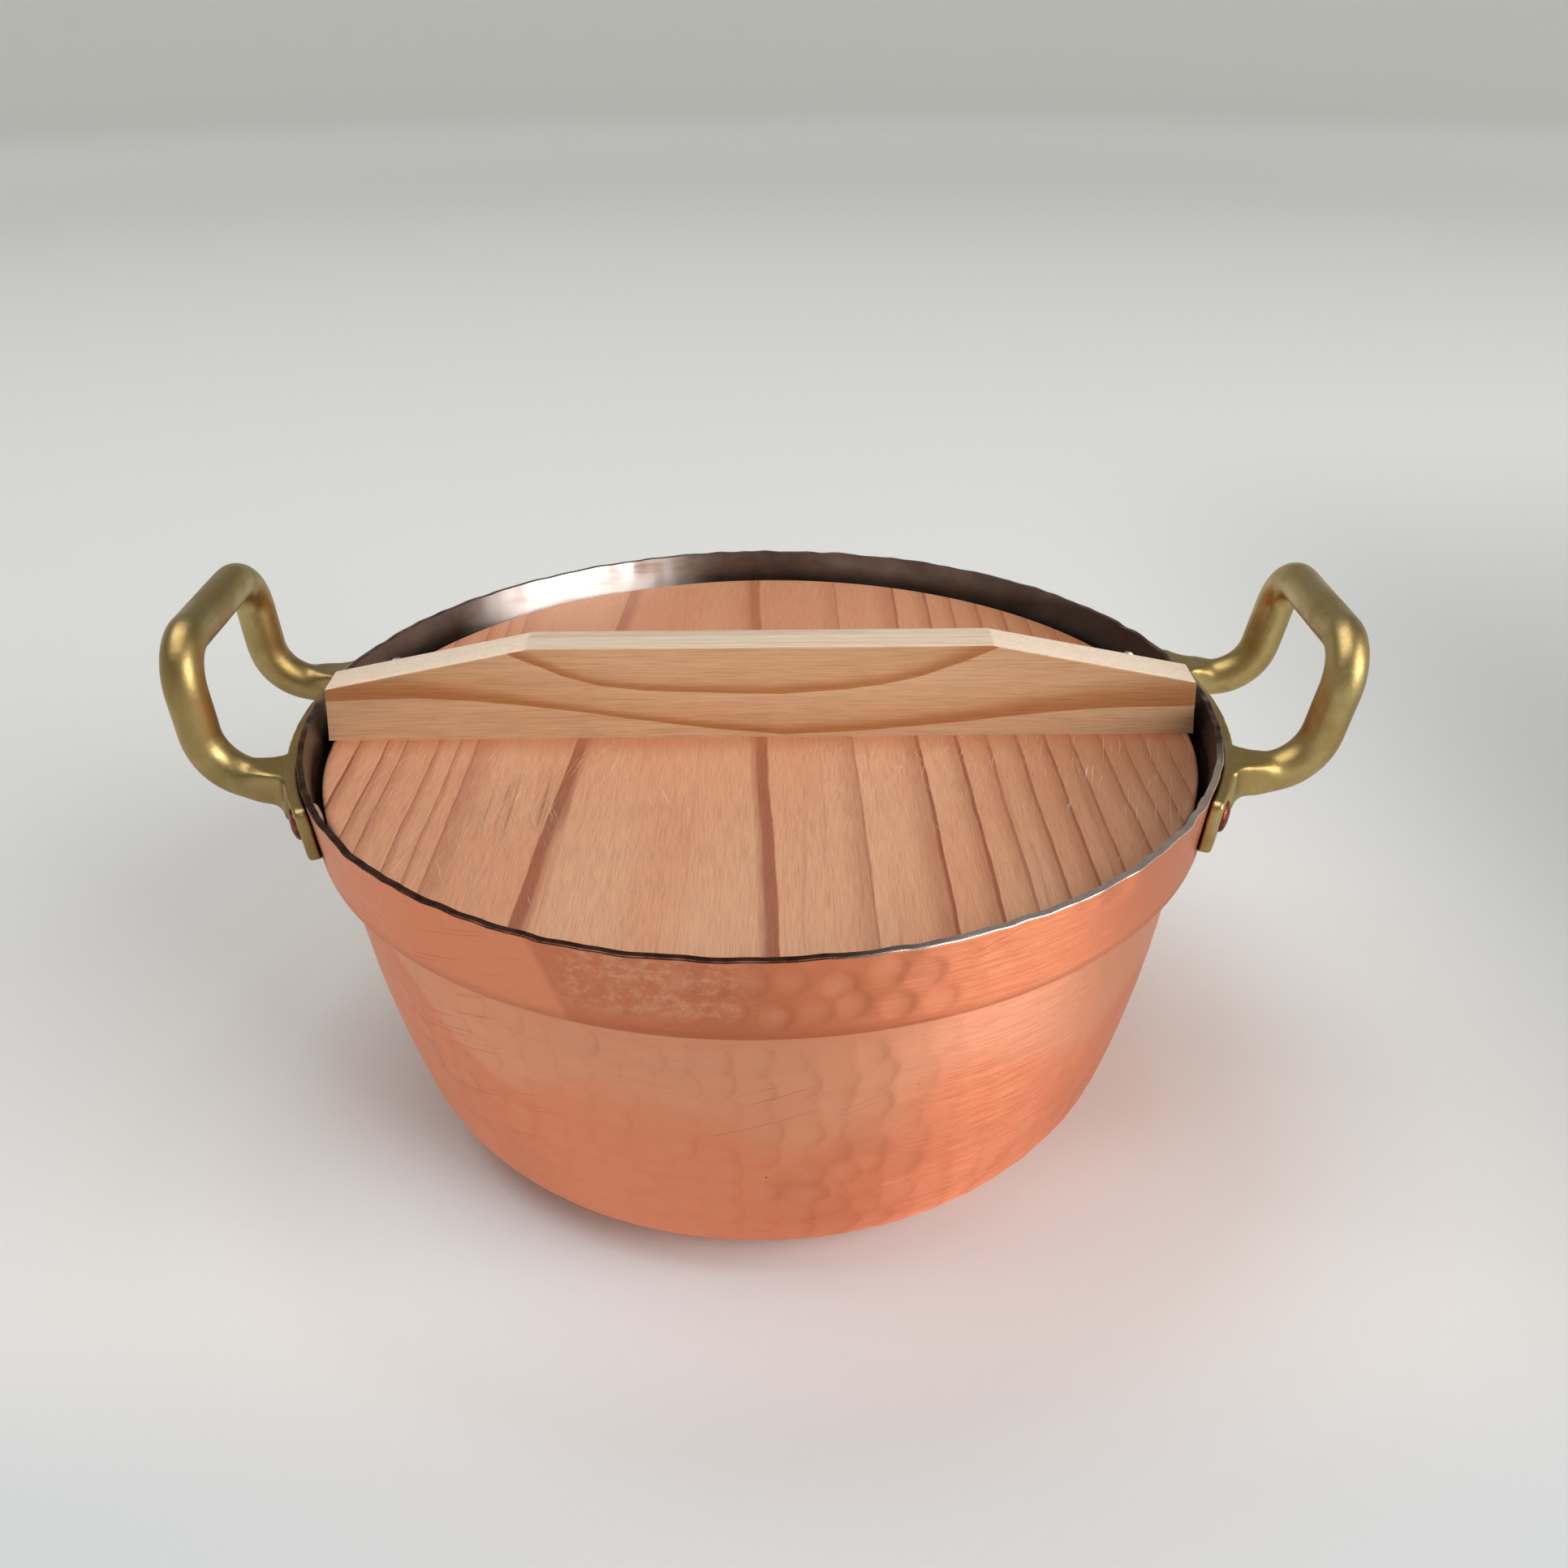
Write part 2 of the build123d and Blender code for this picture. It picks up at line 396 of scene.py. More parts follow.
@dataclass(frozen=True)
class BrushedCopper:
    """Satin copper with fine level brush lines, a few soft clouds, pits and scratches.

    Places are in millimetres.
    """

    name: str = "brushed_copper"
    clean: Colour = srgb(244, 152, 112)
    warm: Colour = srgb(238, 142, 101)
    cloud: Colour = srgb(206, 118, 82)
    # Pale haze of the brush lines and the mottling, also the colour of the painted reflection under
    # the step and of the painted highlights in the hammer marks.
    haze_and_painted_light: Colour = srgb(246, 178, 142)
    # Colour of the painted shade at the hammer marks' right edges and on the band just above the
    # step.
    painted_shading: Colour = srgb(168, 88, 58)
    # Colour of the pits, also of the painted shade round the handles' plates.
    pit_and_painted_shade: Colour = srgb(92, 44, 30)
    roughness: float = 0.42
    stretch: float = 0.8
    line_depth: float = 0.00002
    pit_depth: float = 0.00012
    step_z: float = 76.0
    step_shade_height: float = 4.2
    stain_from: float = -34.6
    stain_low_z: float = 81.8
    stain_lean: float = 0.39
    stain_to: float = 6.0
    fleck_from: float = -60.0
    fleck_to: float = -76.0
    plate_end: float = 45.9
    plate_foot: float = 80.6
    reflection_low: float = 44.0
    reflection_high: float = 62.0
    reflection_left: float = -52.0
    reflection_wave_from: float = -58.0
    reflection_wave_to: float = -30.0
    reflection_lean: float = 0.9
    reflection_sharp: float = 7.0
    speck: Colour = (1.0, -88.9, 35.6)

    def brushing(self, pen: NodePen) -> Socket:
        """Adds the brush lines that run level round the pot."""
        short = pen.noise(pen.scaled((150, 150, 4600)), detail=4, roughness=0.65)
        long = pen.noise(pen.scaled((34, 34, 2300)), detail=4, roughness=0.65)
        return pen.plus(pen.times(short, 0.6), pen.times(long, 0.4))

    def clouds(self, pen: NodePen) -> Socket:
        """Adds soft darker clouds, mostly at the right and the rear."""
        broad = pen.noise(pen.scaled((15, 15, 19)), detail=3, roughness=0.5, distortion=0.4)
        fine = pen.noise(pen.scaled((64, 64, 90)), detail=4, roughness=0.6, distortion=0.5)
        mixed = pen.plus(pen.times(broad, 0.7), pen.times(fine, 0.3))
        return pen.span(mixed, 0.5, 0.66)

    def stain(self, pen: NodePen) -> tuple[Socket, Socket]:
        """Adds the darker patch on the left of the band's front, and the pale mottling in it."""
        x, y, z = pen.axes()
        wander = pen.noise(pen.scaled((60, 60, 60)), detail=3)
        shift = pen.swung(wander, 9 * MM)
        place = pen.plus(x, shift)
        rise = pen.minus(z, self.stain_low_z * MM)
        leaning = pen.plus(x, pen.times(shift, 0.3))
        leaning = pen.plus(leaning, pen.times(rise, self.stain_lean))
        left = pen.reach(leaning, self.stain_from - 1.2, self.stain_from + 1.2)
        right = pen.reach(place, self.stain_to + 18, self.stain_to - 14)
        front = pen.sum("LESS_THAN", y, 0.0)
        on_band = pen.sum("GREATER_THAN", z, self.step_z * MM)
        patch = pen.times(left, right, front, on_band)
        mottle = pen.noise(pen.scaled((420, 420, 560)), detail=6, roughness=0.75)
        inner = pen.reach(place, self.stain_from - 2, self.stain_from + 5)
        inner = pen.times(inner, pen.reach(x, 6, -10))
        high = pen.reach(z, self.step_z + 3, self.step_z + 8)
        spotted = pen.span(mottle, 0.44, 0.64)
        mottled = pen.times(inner, high, patch)
        flecked = pen.reach(x, self.fleck_from, self.fleck_to)
        flecked = pen.times(flecked, front, on_band)
        where = pen.plus(mottled, pen.times(flecked, 0.7))
        return patch, pen.times(where, spotted)

    def painted_reflection(self, pen: NodePen) -> Socket:
        """Adds a painted reflection: a paler band under the step, which ends lower down in soft
        lobes.
        """
        x, _, z = pen.axes()
        lobes = pen.noise(pen.scaled((26, 26, 22)), detail=2, roughness=0.4, distortion=0.3)
        ends = (self.reflection_wave_from * MM, self.reflection_wave_to * MM)
        swing = pen.span(x, *ends, 18 * MM, 60 * MM)
        low = pen.span(x, *ends, (self.reflection_low + self.reflection_sharp) * MM, self.reflection_low * MM)
        high = pen.span(x, *ends, (self.reflection_high - self.reflection_sharp) * MM, self.reflection_high * MM)
        level = pen.plus(z, pen.swung(lobes, swing))
        beyond = pen.sum("MAXIMUM", pen.minus(self.reflection_left * MM, x), 0.0)
        level = pen.minus(level, pen.times(beyond, self.reflection_lean))
        under = pen.sum("LESS_THAN", z, (self.step_z - 0.4) * MM)
        return pen.times(pen.span(level, low, high), under)

    def painted_plate_gap_shade(self, pen: NodePen) -> Socket:
        """Adds painted shade round the handles' plates, where the gap to the band lies in shadow.
        """
        _, y, z = pen.axes()
        side = pen.reach(pen.sum("ABSOLUTE", y), self.plate_end, self.plate_end - 0.7)
        high = pen.sum("GREATER_THAN", z, self.plate_foot * MM)
        return pen.times(side, high)

    def scratches(self, pen: NodePen) -> Socket:
        """Adds a few long fine scratches that rise across the brush lines."""
        lines = pen.noise(pen.scaled((24, 24, 2100), (0.0, 0.34, 0.0)), detail=2, roughness=0.4)
        where = pen.noise(pen.scaled((22, 22, 30)), detail=2)
        return pen.times(pen.span(lines, 0.66, 0.72), pen.span(where, 0.52, 0.62))

    def pits(self, pen: NodePen) -> Socket:
        """Adds scattered pits, thickest in a few places, and one deeper speck at the front."""
        holes = pen.spots(pen.scaled((1, 1, 1)), scale=620)
        where = pen.noise(pen.scaled((30, 30, 30)), detail=2)
        thick = pen.span(where, 0.6, 0.7)
        scattered = pen.times(pen.span(holes, 0.13, 0.05), thick)
        return pen.sum("MAXIMUM", scattered, pen.near(self.speck, 0.22, 0.34))

    def material(self) -> bpy.types.Material:
        """Builds the copper."""
        pen = NodePen(self.name)
        lines = self.brushing(pen)
        clouds = self.clouds(pen)
        patch, mottled = self.stain(pen)
        scratches = self.scratches(pen)
        pits = self.pits(pen)
        tone = pen.noise(pen.scaled((11, 11, 11)), detail=2)
        colour = pen.blend(pen.span(tone, 0.38, 0.62), self.clean, self.warm)
        painted_mark_shading = pen.attribute(SHADING_ATTRIBUTE)
        z = pen.axes()[2]
        # Painted shade on the foot of the band, just above the step.
        painted_step_shade = pen.reach(z, self.step_z + self.step_shade_height, self.step_z)
        painted_step_shade = pen.times(painted_step_shade, pen.sum("GREATER_THAN", z, (self.step_z - 0.4) * MM))
        colour = pen.blend(pen.span(lines, 0.4, 0.62, 0.0, 0.3), colour, self.haze_and_painted_light)
        colour = pen.layer(colour, self.cloud, clouds, 0.35)
        colour = pen.layer(colour, self.cloud, patch, 0.55)
        colour = pen.layer(colour, self.haze_and_painted_light, mottled, 0.85)
        # Painted reflection: a paler band on the bowl under the step.
        colour = pen.layer(colour, self.haze_and_painted_light, self.painted_reflection(pen), 0.6)
        # Painted highlight in the middle of each hammer mark.
        hollow = pen.sum("MAXIMUM", pen.times(painted_mark_shading, -1.0), 0.0)
        colour = pen.layer(colour, self.haze_and_painted_light, hollow, 0.8)
        # Painted shade along each hammer mark's right edge, stronger on the band.
        upper = pen.reach(z, self.step_z - 1, self.step_z + 1, 0.36, 0.5)
        colour = pen.layer(colour, self.painted_shading, painted_mark_shading, upper)
        colour = pen.layer(colour, self.painted_shading, painted_step_shade, 0.5)
        # Painted shade round the handles' plates.
        colour = pen.layer(colour, self.pit_and_painted_shade, self.painted_plate_gap_shade(pen), 0.8)
        colour = pen.layer(colour, self.cloud, scratches, 0.5)
        colour = pen.layer(colour, self.pit_and_painted_shade, pits, 0.85)
        rough = pen.span(lines, 0.36, 0.64, self.roughness - 0.05, self.roughness + 0.09)
        rough = pen.plus(rough, pen.times(mottled, 0.1))
        worn = pen.sum("MAXIMUM", pits, pen.times(scratches, 0.4))
        normal = pen.relief(lines, self.line_depth)
        normal = pen.relief(pen.minus(1.0, worn), self.pit_depth, normal)
        return pen.finish(
            Base_Color=colour,
            Metallic=1.0,
            Roughness=rough,
            Normal=normal,
            Anisotropic=self.stretch,
            Tangent=pen.upright(),
        )


@dataclass(frozen=True)
class RimEdge:
    """The cut edge of the rim, wiped with tin and dark, with a painted highlight along its right
    front.
    """

    name: str = "rim_edge"
    bare: Colour = srgb(116, 78, 64)
    dark: Colour = srgb(66, 38, 30)
    # Colours of the painted highlight along the rim's right front, on the rounded edge and on the
    # flat top.
    worn: Colour = srgb(255, 222, 200)
    highlight_top: Colour = srgb(250, 232, 222)
    highlight_from: float = 10.0
    highlight_to: float = 44.0
    highlight_rear: float = -18.0
    highlight_front: float = -36.0
    roughness: float = 0.22
    file_depth: float = 0.00004

    def material(self) -> bpy.types.Material:
        """Builds the edge's metal."""
        pen = NodePen(self.name)
        tone = pen.noise(pen.scaled((240, 240, 240)), detail=4, roughness=0.6)
        filed = pen.noise(pen.scaled((1300, 1300, 300)), detail=3)
        colour = pen.blend(pen.span(tone, 0.36, 0.66), self.bare, self.dark)
        corner = pen.span(pen.facing_up(), 0.99, 0.9)
        # Painted highlight: the flat top and the rounded edge are lighter along the rim's right
        # front.
        right = pen.reach(pen.axes()[0], self.highlight_from, self.highlight_to)
        front = pen.reach(pen.axes()[1], self.highlight_rear, self.highlight_front)
        right = pen.times(right, front)
        colour = pen.layer(colour, self.highlight_top, right, 0.85)
        colour = pen.layer(colour, self.worn, corner, right)
        rough = pen.span(tone, 0.3, 0.7, self.roughness - 0.04, self.roughness + 0.1)
        normal = pen.relief(filed, self.file_depth)
        return pen.finish(Base_Color=colour, Metallic=1.0, Roughness=rough, Normal=normal)


@dataclass(frozen=True)
class WipedTin:
    """Hand-wiped tin, grey and bright, with streaks and duller patches."""

    name: str = "wiped_tin"
    bright: Colour = srgb(146, 142, 138)
    dull: Colour = srgb(104, 99, 95)
    # Colour of the painted shade low on the band's inner wall.
    painted_gap_shade: Colour = srgb(52, 42, 36)
    right_from: float = 60.0
    right_to: float = 88.0
    gap_shade_from: float = 93.0
    gap_shade_to: float = 88.0
    right_rise: float = 7.0
    step_z: float = 76.0
    # Colour of the painted highlight on the inner wall at the rear left.
    clean: Colour = srgb(246, 244, 240)
    highlight_place: Colour = (-50.0, 84.0, 90.0)
    highlight_within: float = 14.0
    highlight_until: float = 40.0
    roughness: float = 0.36
    stretch: float = 0.75
    streak_depth: float = 0.00005

    def material(self) -> bpy.types.Material:
        """Builds the tin."""
        pen = NodePen(self.name)
        streaks = pen.noise(pen.scaled((60, 60, 420)), detail=5, roughness=0.6, distortion=0.4)
        patches = pen.noise(pen.scaled((34, 34, 40)), detail=4, roughness=0.6)
        colour = pen.blend(pen.span(patches, 0.35, 0.68), self.bright, self.dull)
        x, _, z = pen.axes()
        # Painted shade low on the band's inner wall, beside the lid, reaching higher towards the
        # right.
        rise = pen.reach(x, self.right_from, self.right_to, 0.0, self.right_rise * MM)
        level = pen.minus(z, rise)
        low = pen.reach(level, self.gap_shade_from, self.gap_shade_to)
        low = pen.times(low, pen.reach(z, self.step_z, self.step_z + 3))
        colour = pen.layer(colour, self.painted_gap_shade, low, 0.75)
        # Painted highlight: a bright patch on the inner wall at the rear left.
        clean = pen.near(self.highlight_place, self.highlight_within, self.highlight_until)
        colour = pen.blend(clean, colour, self.clean)
        rough = pen.span(streaks, 0.3, 0.7, self.roughness - 0.06, self.roughness + 0.14)
        normal = pen.relief(streaks, self.streak_depth)
        return pen.finish(
            Base_Color=colour,
            Metallic=1.0,
            Roughness=rough,
            Normal=normal,
            Anisotropic=self.stretch,
            Tangent=pen.upright(),
        )


@dataclass(frozen=True)
class CastBrass:
    """Satin cast brass, olive-gold, tumbled smooth, with a duller skin in places."""

    name: str = "cast_brass"
    bright: Colour = srgb(194, 172, 118)
    dull: Colour = srgb(170, 144, 90)
    # Colour of the painted shade on the left handle.
    painted_left_shade: Colour = srgb(120, 94, 50)
    # Colour of the painted shade where the brass meets the band.
    painted_band_shade: Colour = srgb(44, 26, 16)
    left_shade_from: float = -80.0
    left_shade_to: float = -90.0
    left_shade_high: float = 98.0
    left_shade_low: float = 82.0
    band_shade_from: float = 0.9
    band_shade_to: float = 0.2
    roughness: float = 0.36
    skin_depth: float = 0.00005

    def near_band(self, pen: NodePen, pot: "Pot") -> Socket:
        """Gives how close a place lies to the band, where shade is painted."""
        x, y, z = pen.axes()
        square = pen.plus(pen.times(x, x), pen.times(y, y))
        lean = pot.band_draw_in / pot.band_height
        below = pen.times(pen.minus(pot.height * MM, z), lean)
        gap = pen.plus(pen.minus(pen.sum("SQRT", square), pot.rim_radius * MM), below)
        return pen.reach(gap, self.band_shade_from, self.band_shade_to)

    def material(self, pot: "Pot") -> bpy.types.Material:
        """Builds the brass.

        Args:
            pot: The pot that the handles are fixed to.

        Returns:
            The material.
        """
        pen = NodePen(self.name)
        skin = pen.noise(pen.scaled((900, 900, 900)), detail=5, roughness=0.6)
        clouds = pen.noise(pen.scaled((70, 70, 70)), detail=4, roughness=0.6, distortion=0.3)
        scratch = pen.noise(pen.scaled((300, 2600, 500), (0.3, 0.5, 0.2)), detail=3)
        colour = pen.blend(pen.span(clouds, 0.34, 0.68), self.bright, self.dull)
        x, _, z = pen.axes()
        # Painted shade on the left handle, heavier lower down.
        left = pen.reach(x, self.left_shade_from, self.left_shade_to)
        low = pen.reach(z, self.left_shade_high, self.left_shade_low, 0.2, 0.75)
        colour = pen.layer(colour, self.painted_left_shade, left, low)
        # Painted shade where the brass meets the band.
        colour = pen.layer(colour, self.painted_band_shade, self.near_band(pen, pot), 0.9)
        rough = pen.span(clouds, 0.3, 0.7, self.roughness - 0.05, self.roughness + 0.07)
        rough = pen.plus(rough, pen.span(scratch, 0.55, 0.75, 0.0, 0.06))
        normal = pen.relief(skin, self.skin_depth)
        return pen.finish(Base_Color=colour, Metallic=1.0, Roughness=rough, Normal=normal)


@dataclass(frozen=True)
class RivetCopper:
    """Redder copper with a darkened skin, on the rivets."""

    name: str = "rivet_copper"
    clean: Colour = srgb(156, 84, 58)
    dark: Colour = srgb(88, 46, 32)
    roughness: float = 0.36
    dent_depth: float = 0.00012

    def material(self) -> bpy.types.Material:
        """Builds the rivet's copper."""
        pen = NodePen(self.name)
        skin = pen.noise(pen.scaled((420, 420, 420)), detail=5, roughness=0.65)
        colour = pen.blend(pen.span(skin, 0.36, 0.66), self.clean, self.dark)
        rough = pen.span(skin, 0.3, 0.7, self.roughness - 0.06, self.roughness + 0.12)
        normal = pen.relief(skin, self.dent_depth)
        return pen.finish(Base_Color=colour, Metallic=1.0, Roughness=rough, Normal=normal)


@dataclass(frozen=True)
class WoodGrain:
    """The fine detail that both pieces of wood share, with the grain along one axis.

    Stretches are per metre along the grain and across it.
    """

    fibre_along: float = 120.0
    fibre_across: float = 4800.0
    streak_along: float = 10.0
    streak_across: float = 520.0
    sheen: float = 0.35
    shade: Colour = srgb(214, 208, 203)
    light: Colour = srgb(255, 255, 255)

    def stretch(self, along_x: bool, along: float, across: float) -> Colour:
        """Gives the scale along X, Y and Z for a noise that runs with the grain."""
        return (along, across, across) if along_x else (across, along, across)

    def fibres(self, pen: NodePen, along_x: bool) -> Socket:
        """Adds the finest lines."""
        vector = pen.scaled(self.stretch(along_x, self.fibre_along, self.fibre_across))
        return pen.noise(vector, detail=4, roughness=0.6, distortion=0.15)

    def streaks(self, pen: NodePen, along_x: bool) -> Socket:
        """Adds soft streaks of a millimetre or two."""
        vector = pen.scaled(self.stretch(along_x, self.streak_along, self.streak_across))
        return pen.noise(vector, detail=4, roughness=0.6, distortion=0.25)

    def shaded(self, pen: NodePen, fibres: Socket, colour: Socket) -> Socket:
        """Darkens a colour a little between the fibres."""
        tint = pen.blend(pen.span(fibres, 0.32, 0.62), self.shade, self.light)
        return pen.blend(0.6, colour, tint, "MULTIPLY")


@dataclass(frozen=True)
class BoardWood:
    """Flat-sawn softwood of the lid's board, with the grain along Y.

    Rings are dark at their outer side and end crisply there. Their outer edges are given in
    millimetres from the middle of the plain stretch that lies over the heart of the tree.
    """

    name: str = "board_wood"
    early: Colour = srgb(212, 151, 115)
    early_pale: Colour = srgb(218, 164, 128)
    late: Colour = srgb(152, 84, 56)
    streak: Colour = srgb(178, 122, 92)
    # Colour of the painted shade over the board's right side.
    painted_right_shade: Colour = srgb(146, 94, 60)
    bruise: Colour = srgb(134, 92, 68)
    bruise_place: Colour = (-50.0, -34.0, 88.0)
    # Colour of the painted shade along the foot of the bar.
    painted_bar_shade: Colour = srgb(206, 130, 88)
    right_shade_from: float = 28.0
    right_shade_to: float = 92.0
    right_shade_front: float = -95.0
    right_shade_rear: float = -8.0
    bar_shade_from: float = -13.0
    bar_shade_to: float = -4.0
    scratch: Colour = srgb(240, 204, 176)
    heart_x: float = -20.0
    heart_depth: float = 70.0
    right_rings: tuple[float, ...] = (
        21.3, 41.2, 56.2, 64.9, 71.5, 78.2, 84.6, 90.4, 97.1, 102.0, 106.4, 111.0, 115.5, 120.0,
    )
    left_rings: tuple[float, ...] = (21.7, 44.0, 47.8, 52.7, 60.4, 64.6, 71.0, 76.5, 82.0)
    heart_half: float = 12.0
    bend_from: float = -38.0
    bend_to: float = -28.0
    straight_from: float = 22.0
    straight_to: float = 56.0
    right_lean: float = 0.03
    far_lean: float = 0.005
    left_lean: float = -0.045
    reach: float = 125.0
    ring_scale: float = 16.0
    roughness: float = 0.52
    soft_near: float = 0.8
    soft_far: float = 0.45
    line_first: float = 0.85
    line_next: float = 0.95
    line_far: float = 0.87
    line_width: float = 0.05
    soft_share: float = 0.45
    fibre_depth: float = 0.00006
    ring_depth: float = 0.0001
    grain: WoodGrain = WoodGrain()

    def ring_points(self, edges: Sequence[float]) -> list[Point2]:
        """Gives the curve from the distance to the heart to the count of rings.

        Args:
            edges: The outer edges of the rings on one side.

        Returns:
            The curve's points, both ways as shares of 0 to 1.
        """
        points = [(0.0, 0.0)]
        for count, edge in enumerate(edges, start=1):
            points.append((edge / self.reach, count / self.ring_scale))
        points.append((1.0, (len(edges) + 1) / self.ring_scale))
        return points

    def ring_count(self, pen: NodePen, top: float) -> tuple[Socket, Socket]:
        """Adds the nodes that count rings outwards from the heart of the tree.

        Args:
            pen: The material in the making.
            top: Height of the board's top, in metres.

        Returns:
            The count of rings, and the distance to the heart in millimetres with its sign.
        """
        x, y, z = pen.axes()
        wander = pen.noise(pen.scaled((30, 11, 30)), detail=3, roughness=0.55)
        wander = pen.swung(wander, 3.2)
        shake = pen.noise(pen.scaled((260, 110, 260)), detail=3, roughness=0.6)
        shake = pen.swung(shake, 0.45)
        off = pen.minus(pen.sum("DIVIDE", x, MM), self.heart_x)
        along = pen.sum("DIVIDE", y, MM)
        lean = pen.span(off, -self.heart_half, self.heart_half, self.left_lean, self.right_lean)
        lean = pen.times(lean, pen.span(off, self.bend_from, self.bend_to))
        gain = self.far_lean - self.right_lean
        lean = pen.plus(lean, pen.span(off, self.straight_from, self.straight_to, 0.0, gain))
        off = pen.plus(off, pen.times(lean, along))
        off = pen.plus(off, pen.plus(wander, shake))
        deep = pen.sum("DIVIDE", pen.minus(top, z), MM)
        fall = pen.times(deep, -2 * self.heart_depth)
        square = pen.plus(pen.times(off, off), fall)
        far = pen.sum("SQRT", pen.sum("MAXIMUM", square, 0.0))
        share = pen.sum("DIVIDE", far, self.reach)
        right = pen.curve(share, self.ring_points(self.right_rings))
        left = pen.curve(share, self.ring_points(self.left_rings))
        is_right = pen.sum("GREATER_THAN", off, 0.0)
        left = pen.times(left, pen.minus(1.0, is_right))
        count = pen.plus(pen.times(right, is_right), left)
        return pen.times(count, self.ring_scale), far

    def material(self, top: float) -> bpy.types.Material:
        """Builds the board's wood.

        Args:
            top: Height of the board's top, in metres.

        Returns:
            The material.
        """
        pen = NodePen(self.name)
        count, far = self.ring_count(pen, top)
        phase = pen.sum("FRACT", count)
        chance = pen.add("ShaderNodeTexWhiteNoise", noise_dimensions="1D")
        pen.feed(chance.inputs["W"], pen.sum("FLOOR", count))
        strength = pen.span(chance.outputs[0], 0.0, 1.0, 0.65, 1.0)
        strength = pen.sum("MAXIMUM", strength, pen.span(far, 33.0, 23.0, 0.0, 0.82))
        start = pen.span(far, 20.0, 66.0, self.soft_near, self.soft_far)
        first = pen.span(far, 23.0, 33.0, self.line_first, self.line_next)
        full = pen.minus(first, pen.span(far, 46.0, 70.0, 0.0, self.line_next - self.line_far))
        soft = pen.times(pen.span(phase, start, full), self.soft_share)
        line = pen.span(phase, full, pen.plus(full, self.line_width))
        line = pen.times(line, 1 - self.soft_share)
        dark = pen.times(pen.plus(soft, line), strength)
        edge = pen.span(phase, 0.985, 0.995)
        dark = pen.times(dark, pen.minus(1.0, pen.times(edge, 0.35)))
        dark = pen.plus(dark, pen.times(pen.sum("POWER", phase, 3.0), 0.12))
        fibres = self.grain.fibres(pen, along_x=False)
        streaks = self.grain.streaks(pen, along_x=False)
        tone = pen.noise(pen.scaled((60, 8, 60)), detail=3)
        colour = pen.blend(pen.span(tone, 0.35, 0.65), self.early, self.early_pale)
        colour = pen.blend(pen.span(streaks, 0.56, 0.74, 0.0, 0.5), colour, self.streak)
        colour = pen.layer(colour, self.late, dark, 0.9)
        colour = self.grain.shaded(pen, fibres, colour)
        colour = self.worn(pen, colour, streaks)
        marks = self.scratches(pen)
        colour = pen.layer(colour, self.scratch, marks, 0.5)
        rough = pen.span(fibres, 0.3, 0.7, self.roughness - 0.06, self.roughness + 0.08)
        normal = pen.relief(dark, self.ring_depth)
        normal = pen.relief(pen.minus(fibres, marks), self.fibre_depth, normal)
        return pen.finish(
            Base_Color=colour,
            Roughness=rough,
            Normal=normal,
            Specular_IOR_Level=self.grain.sheen,
        )

    def worn(self, pen: NodePen, colour: Socket, streaks: Socket) -> Socket:
        """Adds a bruise that use has left, painted shade over the right side, and painted shade
        along the bar's foot.

        Args:
            pen: The material in the making.
            colour: The wood's colour so far.
            streaks: The soft streaks along the grain.

        Returns:
            The new colour.
        """
        x, y, _ = pen.axes()
        # Painted shade over the board's right side, weaker towards the front.
        right = pen.reach(x, self.right_shade_from, self.right_shade_to)
        front = pen.reach(y, self.right_shade_front, self.right_shade_rear, 0.35, 0.75)
        colour = pen.layer(colour, self.painted_right_shade, right, front)
        bruised = pen.times(pen.near(self.bruise_place, 5.0, 18.0), pen.span(streaks, 0.5, 0.62))
        colour = pen.layer(colour, self.bruise, bruised, 0.6)
        # Painted shade along the foot of the bar.
        foot = pen.reach(y, self.bar_shade_from, self.bar_shade_to)
        return pen.layer(colour, self.painted_bar_shade, foot, 0.4)

    def scratches(self, pen: NodePen) -> Socket:
        """Adds the pale scratches that sanding left, in two directions near the grain's."""
        marks: Value = 0.0
        for turn, rarity in ((0.2, 0.63), (-0.3, 0.645), (0.42, 0.66)):
            lines = pen.noise(pen.scaled((4600, 62, 400), (0, 0, turn)), detail=2, roughness=0.5)
            where = pen.noise(pen.scaled((30, 18, 30), (0, 0, turn)), detail=2)
            lines = pen.span(lines, rarity, rarity + 0.05)
            mark = pen.times(lines, pen.span(where, 0.46, 0.6))
            marks = pen.sum("MAXIMUM", marks, mark)
        return marks


